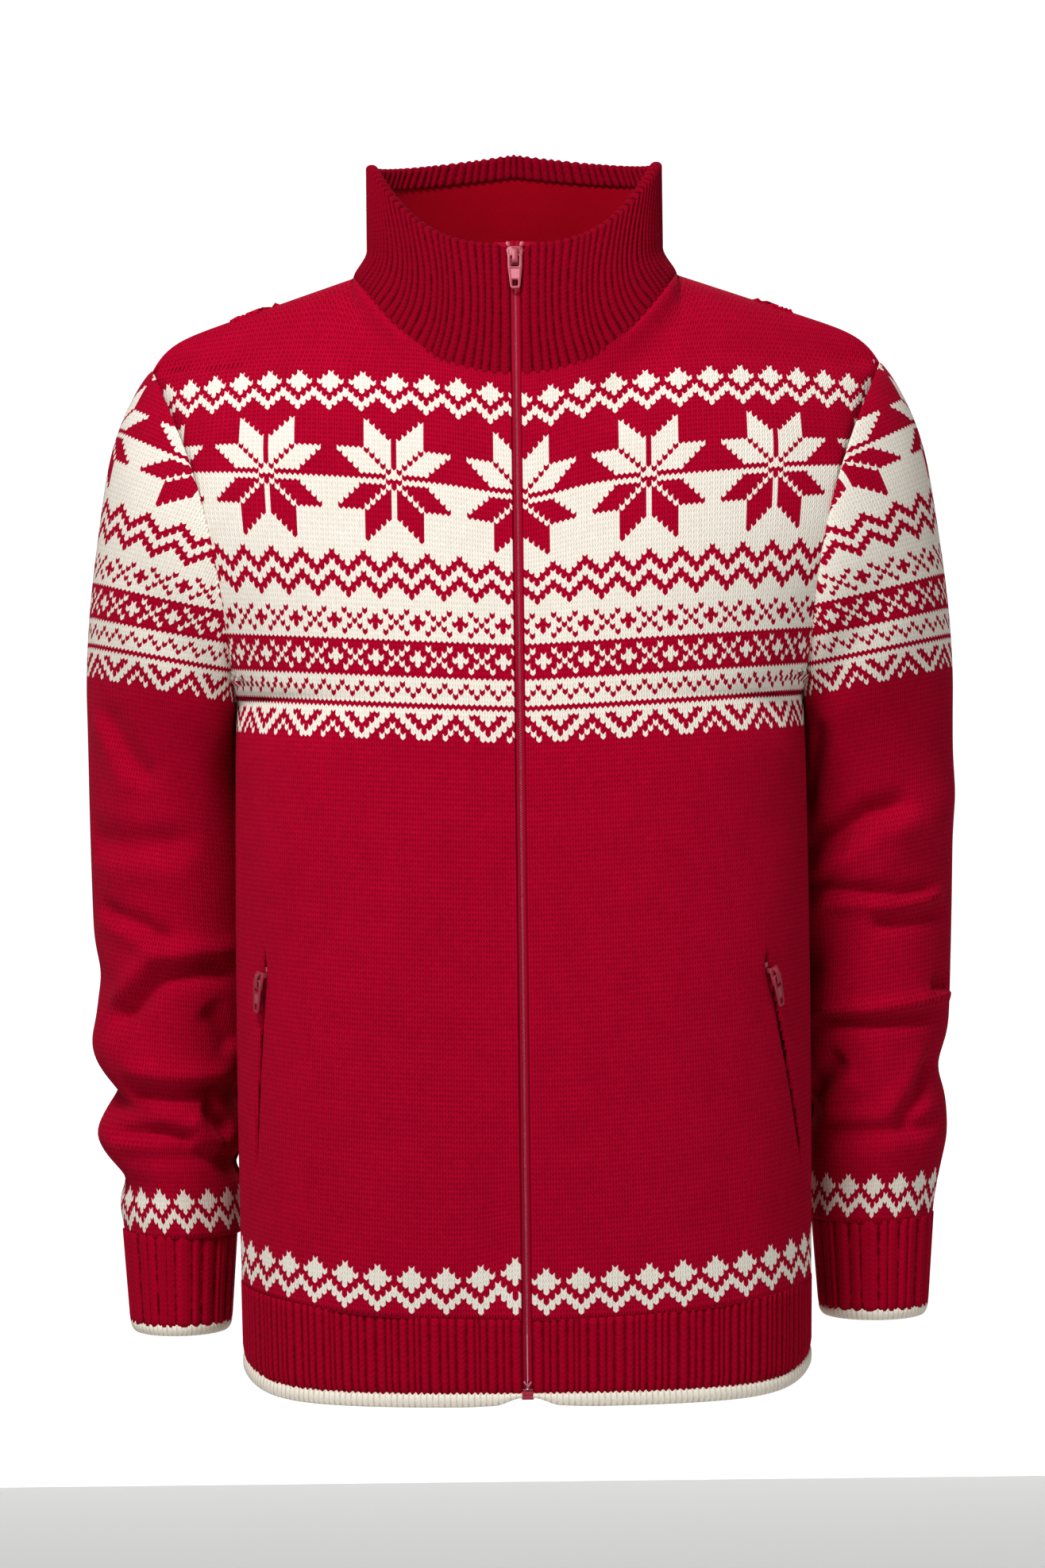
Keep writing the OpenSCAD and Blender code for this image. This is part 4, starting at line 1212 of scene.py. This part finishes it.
def profile_bar(bm, profile, half_wide, bevel, x=0.0):
    """Bar at x whose side view is the given profile (depth, along)."""
    prism(bm, [(x - half_wide, y, z) for y, z in profile], (2 * half_wide, 0, 0), bevel)


SHARP = math.radians(35)        # steepest angle that is still shaded as a round edge


def put(bm, matrix):
    """Makes the mesh, placed by the matrix (millimetres to metres)."""
    bmesh.ops.transform(bm, matrix=matrix, verts=bm.verts)
    for f in bm.faces:
        f.smooth = True
    for e in bm.edges:
        e.smooth = e.calc_face_angle(0.0) < SHARP
    return to_mesh(bm)


POST = 0.03                     # half the width of the post between a zip's two halves


def slider_mesh(matrix, tape):
    """Slider body: crowned front plate, bridge for the pull, post, and a plate behind the tape."""
    bm = bmesh.new()
    slab(bm, [(-3.9, -6.0), (3.9, -6.0), (4.5, -1.2), (5.35, 3.6), (4.6, 5.6), (2.6, 6.3),
              (-2.6, 6.3), (-4.6, 5.6), (-5.35, 3.6), (-4.5, -1.2)], -0.4, -1.55, 0.4, 3)
    profile_bar(bm, [(-1.2, 5.7), (-2.6, 5.3), (-4.0, 3.9), (-4.35, 2.2), (-4.35, -3.6),
                     (-3.9, -4.9), (-2.9, -5.5), (-1.2, -5.7), (-1.2, -4.4), (-2.5, -4.1),
                     (-3.2, -3.2), (-3.25, 2.0), (-2.9, 3.0), (-1.9, 3.8), (-1.2, 4.0)], 1.75, 0.28)
    for x in (-1, 1):
        profile_bar(bm, [(-1.2, -4.6), (-1.2, 4.4), (-2.05, 3.6), (-2.05, -3.8)], 0.45, 0.25, x * 3.9)
    block(bm, (-POST, -0.6, 1.6), (POST, 1.4 - tape, 5.2))
    slab(bm, [(-3.6, -5.4), (3.6, -5.4), (4.4, 4.0), (3.2, 5.3), (-3.2, 5.3), (-4.4, 4.0)],
         1.85 - tape, 2.9 - tape, 0.3)
    return put(bm, matrix)


def round_rect(x0, z0, x1, z1, r, steps=4):
    """Loop of a rectangle with round corners."""
    out = []
    centres = ((x1 - r, z1 - r, 0), (x0 + r, z1 - r, 90), (x0 + r, z0 + r, 180), (x1 - r, z0 + r, 270))
    for cx, cz, start in centres:
        for k in range(steps + 1):
            a = math.radians(start + 90 * k / steps)
            out.append((cx + r * math.cos(a), cz + r * math.sin(a)))
    return out


def pierced_plate(bm, loops, y0, y1, bevel):
    """Plate bounded by the first loop with the other loops cut out of it."""
    edges = []
    for loop in loops:
        verts = [bm.verts.new((x, y0, z)) for x, z in loop]
        edges += [bm.edges.new((verts[k], verts[(k + 1) % len(verts)])) for k in range(len(verts))]
    rim = set(edges)
    faces = [g for g in bmesh.ops.triangle_fill(bm, edges=edges, use_beauty=True)["geom"]
             if isinstance(g, bmesh.types.BMFace)]
    moved = pushed(bm, faces, (0, y1 - y0, 0))
    whole = {f for v in moved for f in v.link_faces} | {f for e in rim for f in e.link_faces}
    bmesh.ops.recalc_face_normals(bm, faces=bm.faces)
    sharp = {e for f in whole for e in f.edges if e.is_manifold and e.calc_face_angle(0.0) > 1.2}
    round_edges(bm, sharp, bevel)


def pull_mesh(matrix):
    """Pull tab with a window under its bar, a sunk panel and an eye at its foot."""
    bm = bmesh.new()
    outline = [(-4.2, 0.35), (4.2, 0.35), (4.5, -0.4), (4.45, -8), (3.75, -14.5), (3.1, -20.4),
               (2.75, -21.4), (1.9, -22), (-1.9, -22), (-2.75, -21.4), (-3.1, -20.4),
               (-3.75, -14.5), (-4.45, -8), (-4.5, -0.4)]
    window = round_rect(-2.65, -7.7, 2.65, -0.75, 1.0)
    panel = [(-2.75, -9.1), (-2.3, -15.4), (2.3, -15.4), (2.75, -9.1)]
    eye = round_rect(-1.75, -20.4, 1.75, -16.4, 0.7)
    pierced_plate(bm, [outline, window, panel, eye], 0.62, -0.68, 0.24)
    slab(bm, [(-2.9, -8.9), (2.9, -8.9), (2.45, -15.6), (-2.45, -15.6)], 0.5, -0.3)
    before = set(bm.verts)
    bmesh.ops.create_cone(bm, cap_ends=True, segments=20, radius1=0.65, radius2=0.65, depth=8.4)
    bmesh.ops.rotate(bm, verts=[v for v in bm.verts if v not in before],
                     matrix=Matrix.Rotation(math.pi / 2, 3, "Y"), cent=(0, 0, 0))
    return put(bm, matrix)


SMALL = 0.9                     # scale of the pocket zips' pieces to the front zip's


def zip_matrix(z, out=0.0, up=0.0):
    """Places a piece made in millimetres on the front zip at height z."""
    b = math.asin((z - ZIP_Z) / ZIP_RADIUS)
    turn = Matrix.Rotation(-b, 4, "X")
    at = Vector((0, ZIP_Y, ZIP_Z - SHOULDER)) + turn.to_3x3() @ Vector((0, -ZIP_RADIUS - out, up))
    return Matrix.Scale(MM, 4) @ Matrix.Translation(at) @ turn


def pocket_matrix(side, along, out=0.0, up=0.0):
    """The same for a small piece on a pocket zip, along from its middle."""
    middle, axes, _ = POCKETS[side]
    turn = Matrix(axes.tolist()).to_4x4()
    at = Vector(middle.tolist()) + turn.to_3x3() @ Vector((0, -out, along + up))
    at = at - Vector((0, 0, SHOULDER))
    return Matrix.Scale(MM, 4) @ Matrix.Translation(at) @ turn @ Matrix.Scale(SMALL, 4)


def stop_mesh(side, matrix):
    """Top stop: a small folded clip at the upper end of a tape."""
    bm = bmesh.new()
    s = SIDES[side]
    slab(bm, [(s * 2.6, -1.6), (s * 4.6, -1.9), (s * 5.9, 0.4), (s * 4.9, 2.1), (s * 3.0, 1.3)],
         2.4, -0.9, 0.45, 3)
    return put(bm, matrix)


def box_mesh(matrix):
    """Retainer box at the foot of the front zip, ridged across its face."""
    bm = bmesh.new()
    block(bm, (-3.7, 4.8, -2.6), (3.7, 0.2, 2.6), 0.5)
    block(bm, (-3.55, 0.6, 0.9), (3.55, -0.25, 2.3), 0.3)
    block(bm, (-3.2, 0.6, -1.9), (3.2, -0.1, 0.3), 0.3)
    return put(bm, matrix)


def pocket_point(side):
    """Function for points beside a pocket zip, like zip_point."""
    middle, axes, _ = POCKETS[side]

    def point(x, out, z):
        local = np.stack(np.broadcast_arrays(x, -np.asarray(out), z), -1)
        return middle + local @ axes.T

    return point


def pocket_tape(side):
    """Both halves of a pocket zip's tape, one strip each side of the coil."""
    point = pocket_point(side)
    half = POCKETS[side][2] / 2 - 1
    xs = np.array([0.25, 1.2, 2.4, 6.9])
    out = np.array([-4.2, -4.1, -4.6, -5.3])
    z = np.linspace(-half, half, 41)
    uv = stitch_map(xs, z / ROW)
    return joined([grid_cloth(point(m * xs[None, :], out[None, :], z[:, None]), uv, m < 0) for m in (-1, 1)])


def pocket_coil(side):
    """Both halves of a pocket zip's coil."""
    point = pocket_point(side)
    half = POCKETS[side][2] / 2 - 4
    return joined([coil_mesh(point, m * 0.5, m * 2.4, -6.4, -4.75, -half, half, 1.4) for m in (-1, 1)])


def zip_coil(side):
    s = SIDES[side]
    start = COIL_FOOT + 0.37 * s
    coil = coil_mesh(zip_point, s * 0.08, s * 2.7, -4.9, -3.3, start, 705.0, COIL_PITCH)
    coil_heads(coil, side)
    level = -1.2 if s < 0 else -0.1
    crossed_end(coil, zip_point(s * 2.3, level, 14.2), zip_point(-s * 1.9, level, 8.4))
    return coil


# ---------------------------------------------------------------- the jacket
CLOTH = 2.1                     # thickness of the knit, mm
TOP_SEAM = 600.0                # height above which the panels' edges are sewn together


def taper_top(obj, wall, level):
    """Thins the cloth to nothing along its sewn edges above the level."""
    bm = bmesh.new()
    bm.from_mesh(obj.data)
    bare = [v.index for v in bm.verts if v.is_boundary and v.co.z > level]
    total = len(bm.verts)
    bm.free()
    group = obj.vertex_groups.new(name="full thickness")
    group.add(range(total), 1.0, "REPLACE")
    group.add(bare, 0.0, "REPLACE")
    wall.vertex_group = group.name


def sheet(name, mesh, material, node, rests="", thick=CLOTH):
    """Adds a piece of cloth that stands for the node and gives it its wall, thinned along the top seams of
    the knit; rests is not used.
    """
    obj = add_piece(name, mesh, material, BODY, node)
    wall = thicken(obj, thick)
    if material is KNIT:
        taper_top(obj, wall, (TOP_SEAM - SHOULDER) * MM)


LINING, TAPE_WALL, BAG = 0.9, 0.6, 1.8  # thickness of the other cloths, mm
SLIDER_REST = 698.2             # height of the front slider when shut
BAR = (2.55, 0.2)               # place of the pull's bar on the slider: out, up
STOP_Z, BOX_Z = 705.8, 5.5      # heights of the top stops and the retainer box
SEAT = 9                        # distance of a shut pocket slider from the slit's end

for side in SIDES:
    front, sleeve = f"{side}_front_knit", f"{side}_sleeve_knit"
    edge = add_piece(f"{side}_front_cream_edge", front_edge(side), EDGE_KNIT, BODY,
                     f"{side}_front_hem_edge")
    sheet(f"{side}_front_hem_rib_knit", hem_rib(side), RIB, f"{side}_front_hem_rib",
          rests=front)
    edge = add_piece(f"{side}_cuff_cream_edge", cuff_edge(side), EDGE_KNIT, BODY,
                     f"{side}_cuff_edge")
    sheet(f"{side}_cuff_rib_knit", cuff_rib(side), CUFF_RIB, f"{side}_cuff_rib",
          rests=sleeve)
    for kind, made in (("zip", front_tape(side)), ("pocket", pocket_tape(side))):
        tape = add_piece(f"{side}_{kind}_tape_cloth", made, TAPE, BODY, f"{side}_{kind}_tape")
        thicken(tape, TAPE_WALL)
    sheet(front, front_knit(side), KNIT, f"{side}_front_panel",
          rests="collar_knit")
    sheet(sleeve, sleeve_knit(side), KNIT, f"{side}_sleeve",
          rests=front)
    sheet(f"{side}_front_fleece", front_lining(side), FLEECE, f"{side}_front_lining",
          rests=front, thick=LINING)
    sheet(f"{side}_pocket_bag_cloth", pocket_bag(side), POCKETING, f"{side}_pocket_bag",
          rests=front, thick=BAG)
    add_piece(f"{side}_zip_coil_wire", zip_coil(side), COIL, BODY, f"{side}_zip_coil")
    add_piece(f"{side}_top_stop_clip", stop_mesh(side, zip_matrix(STOP_Z)),
              PAINT, BODY, f"{side}_top_stop")
    add_piece(f"{side}_pocket_coil_wire", pocket_coil(side), COIL, BODY, f"{side}_pocket_coil")
    seat = POCKETS[side][2] / 2 - SEAT
    slider = f"{side}_pocket_slider"
    add_piece(f"{slider}_body", slider_mesh(pocket_matrix(side, seat), -5 / SMALL),
              DEEP_PAINT, slider, slider)
    pull = pull_mesh(pocket_matrix(side, seat, BAR[0] * SMALL, BAR[1] * SMALL))
    add_piece(f"{side}_pocket_pull", pull, DEEP_PAINT, f"{side}_pocket_pull",
              f"{side}_pocket_pull_tab")

edge = add_piece("back_cream_edge", back_edge(), EDGE_KNIT, BODY, "back_hem_edge")
sheet("back_hem_rib_knit", back_rib(), RIB, "back_hem_rib",
      rests="back_knit")
sheet("back_knit", back_knit(), KNIT, "back_panel",
      rests="collar_knit")
sheet("back_fleece", back_lining(), FLEECE, "back_lining",
      rests="back_knit", thick=LINING)
sheet("collar_knit", collar_knit(), COLLAR_RIB, "collar",
      rests="back_knit")
sheet("collar_fleece", collar_lining(), FLEECE, "collar_lining",
      rests="collar_knit", thick=LINING)
add_piece("main_slider_body", slider_mesh(zip_matrix(SLIDER_REST), -3.2), PAINT,
          "main_slider", "main_slider")
add_piece("main_pull", pull_mesh(zip_matrix(SLIDER_REST, *BAR)), PAINT,
          "main_pull", "main_pull_tab")
add_piece("retainer_box_moulding", box_mesh(zip_matrix(BOX_Z)), BOX_PLASTIC,
          BODY, "zip_retainer_box")
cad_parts["zip_insertion_pin"].material_slots[0].material = BOX_PLASTIC
for side in SIDES:
    for end in ("top", "foot"):
        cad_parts[f"{side}_pocket_{end}_stop"].material_slots[0].material = PAINT

# ---------------------------------------------------------------- floor, light, camera
FLOOR_Z, BACK_Y = -2.6, 10.0    # level of the floor and depth of the backdrop, m


def stage_sheet(name, material, corners):
    """Flat sheet of the stage through four corners."""
    bm = bmesh.new()
    bm.faces.new([bm.verts.new(c) for c in corners])
    mesh = to_mesh(bm)
    mesh.materials.append(material)
    in_scene(name, mesh)


pale, _, shader = new_material("pale floor", 0.8)
shader.inputs["Base Color"].default_value = (0.93, 0.93, 0.92, 1)
stage_sheet("floor", pale, [(-11, -11, FLOOR_Z), (11, -11, FLOOR_Z), (11, BACK_Y, FLOOR_Z),
                            (-11, BACK_Y, FLOOR_Z)])
glow, _, shader = new_material("white backdrop", 0.9)
shader.inputs["Base Color"].default_value = (0.95, 0.95, 0.95, 1)
shader.inputs["Emission Color"].default_value = (1, 1, 1, 1)
shader.inputs["Emission Strength"].default_value = 0.75
stage_sheet("backdrop", glow, [(-6.5, BACK_Y, FLOOR_Z), (6.5, BACK_Y, FLOOR_Z), (6.5, BACK_Y, 5.6),
                               (-6.5, BACK_Y, 5.6)])

world = bpy.data.worlds.new("studio")
bpy.context.scene.world = world
world.use_nodes = True
world.node_tree.nodes["Background"].inputs["Color"].default_value = (1, 1, 1, 1)
world.node_tree.nodes["Background"].inputs["Strength"].default_value = 0.27


def soft_light(name, at, aim, size, power):
    lamp = bpy.data.lights.new(name, "AREA")
    lamp.shape = "RECTANGLE"
    lamp.size, lamp.size_y = size
    lamp.energy = power
    obj = in_scene(name, lamp)
    obj.location = at
    obj.rotation_euler = (Vector(aim) - Vector(at)).to_track_quat("-Z", "Y").to_euler()


soft_light("key above the front", (-0.75, -1.7, 1.75), (0, 0, -0.25), (0.9, 0.6), 62)
soft_light("front left", (-1.7, -2.4, 0.1), (0, 0, -0.35), (0.7, 1.2), 13)
soft_light("front right", (1.6, -2.5, 0.1), (0, 0, -0.35), (0.7, 1.2), 14)
soft_light("fill back", (0.4, 2.6, 1.3), (0, 0, -0.3), (1.8, 1.4), 34)

EYE_HEIGHT = 430.0              # camera above the front hem, mm
camera = bpy.data.cameras.new("camera")
camera.sensor_fit = "HORIZONTAL"
camera.sensor_width = 36
camera.lens = 36 * 2700 / 658   # 658 mm across at 2.7 m
camera.clip_end = 60
eye = in_scene("camera", camera)
eye.location = (0.001, -2.7, (EYE_HEIGHT - SHOULDER) * MM)
aim = Matrix.Rotation(math.radians(90 - 1.19), 3, "X") @ Matrix.Rotation(math.radians(-0.65), 3, "Z")
eye.rotation_euler = aim.to_euler()
bpy.context.scene.camera = eye
bpy.context.scene.view_settings.view_transform = "Standard"
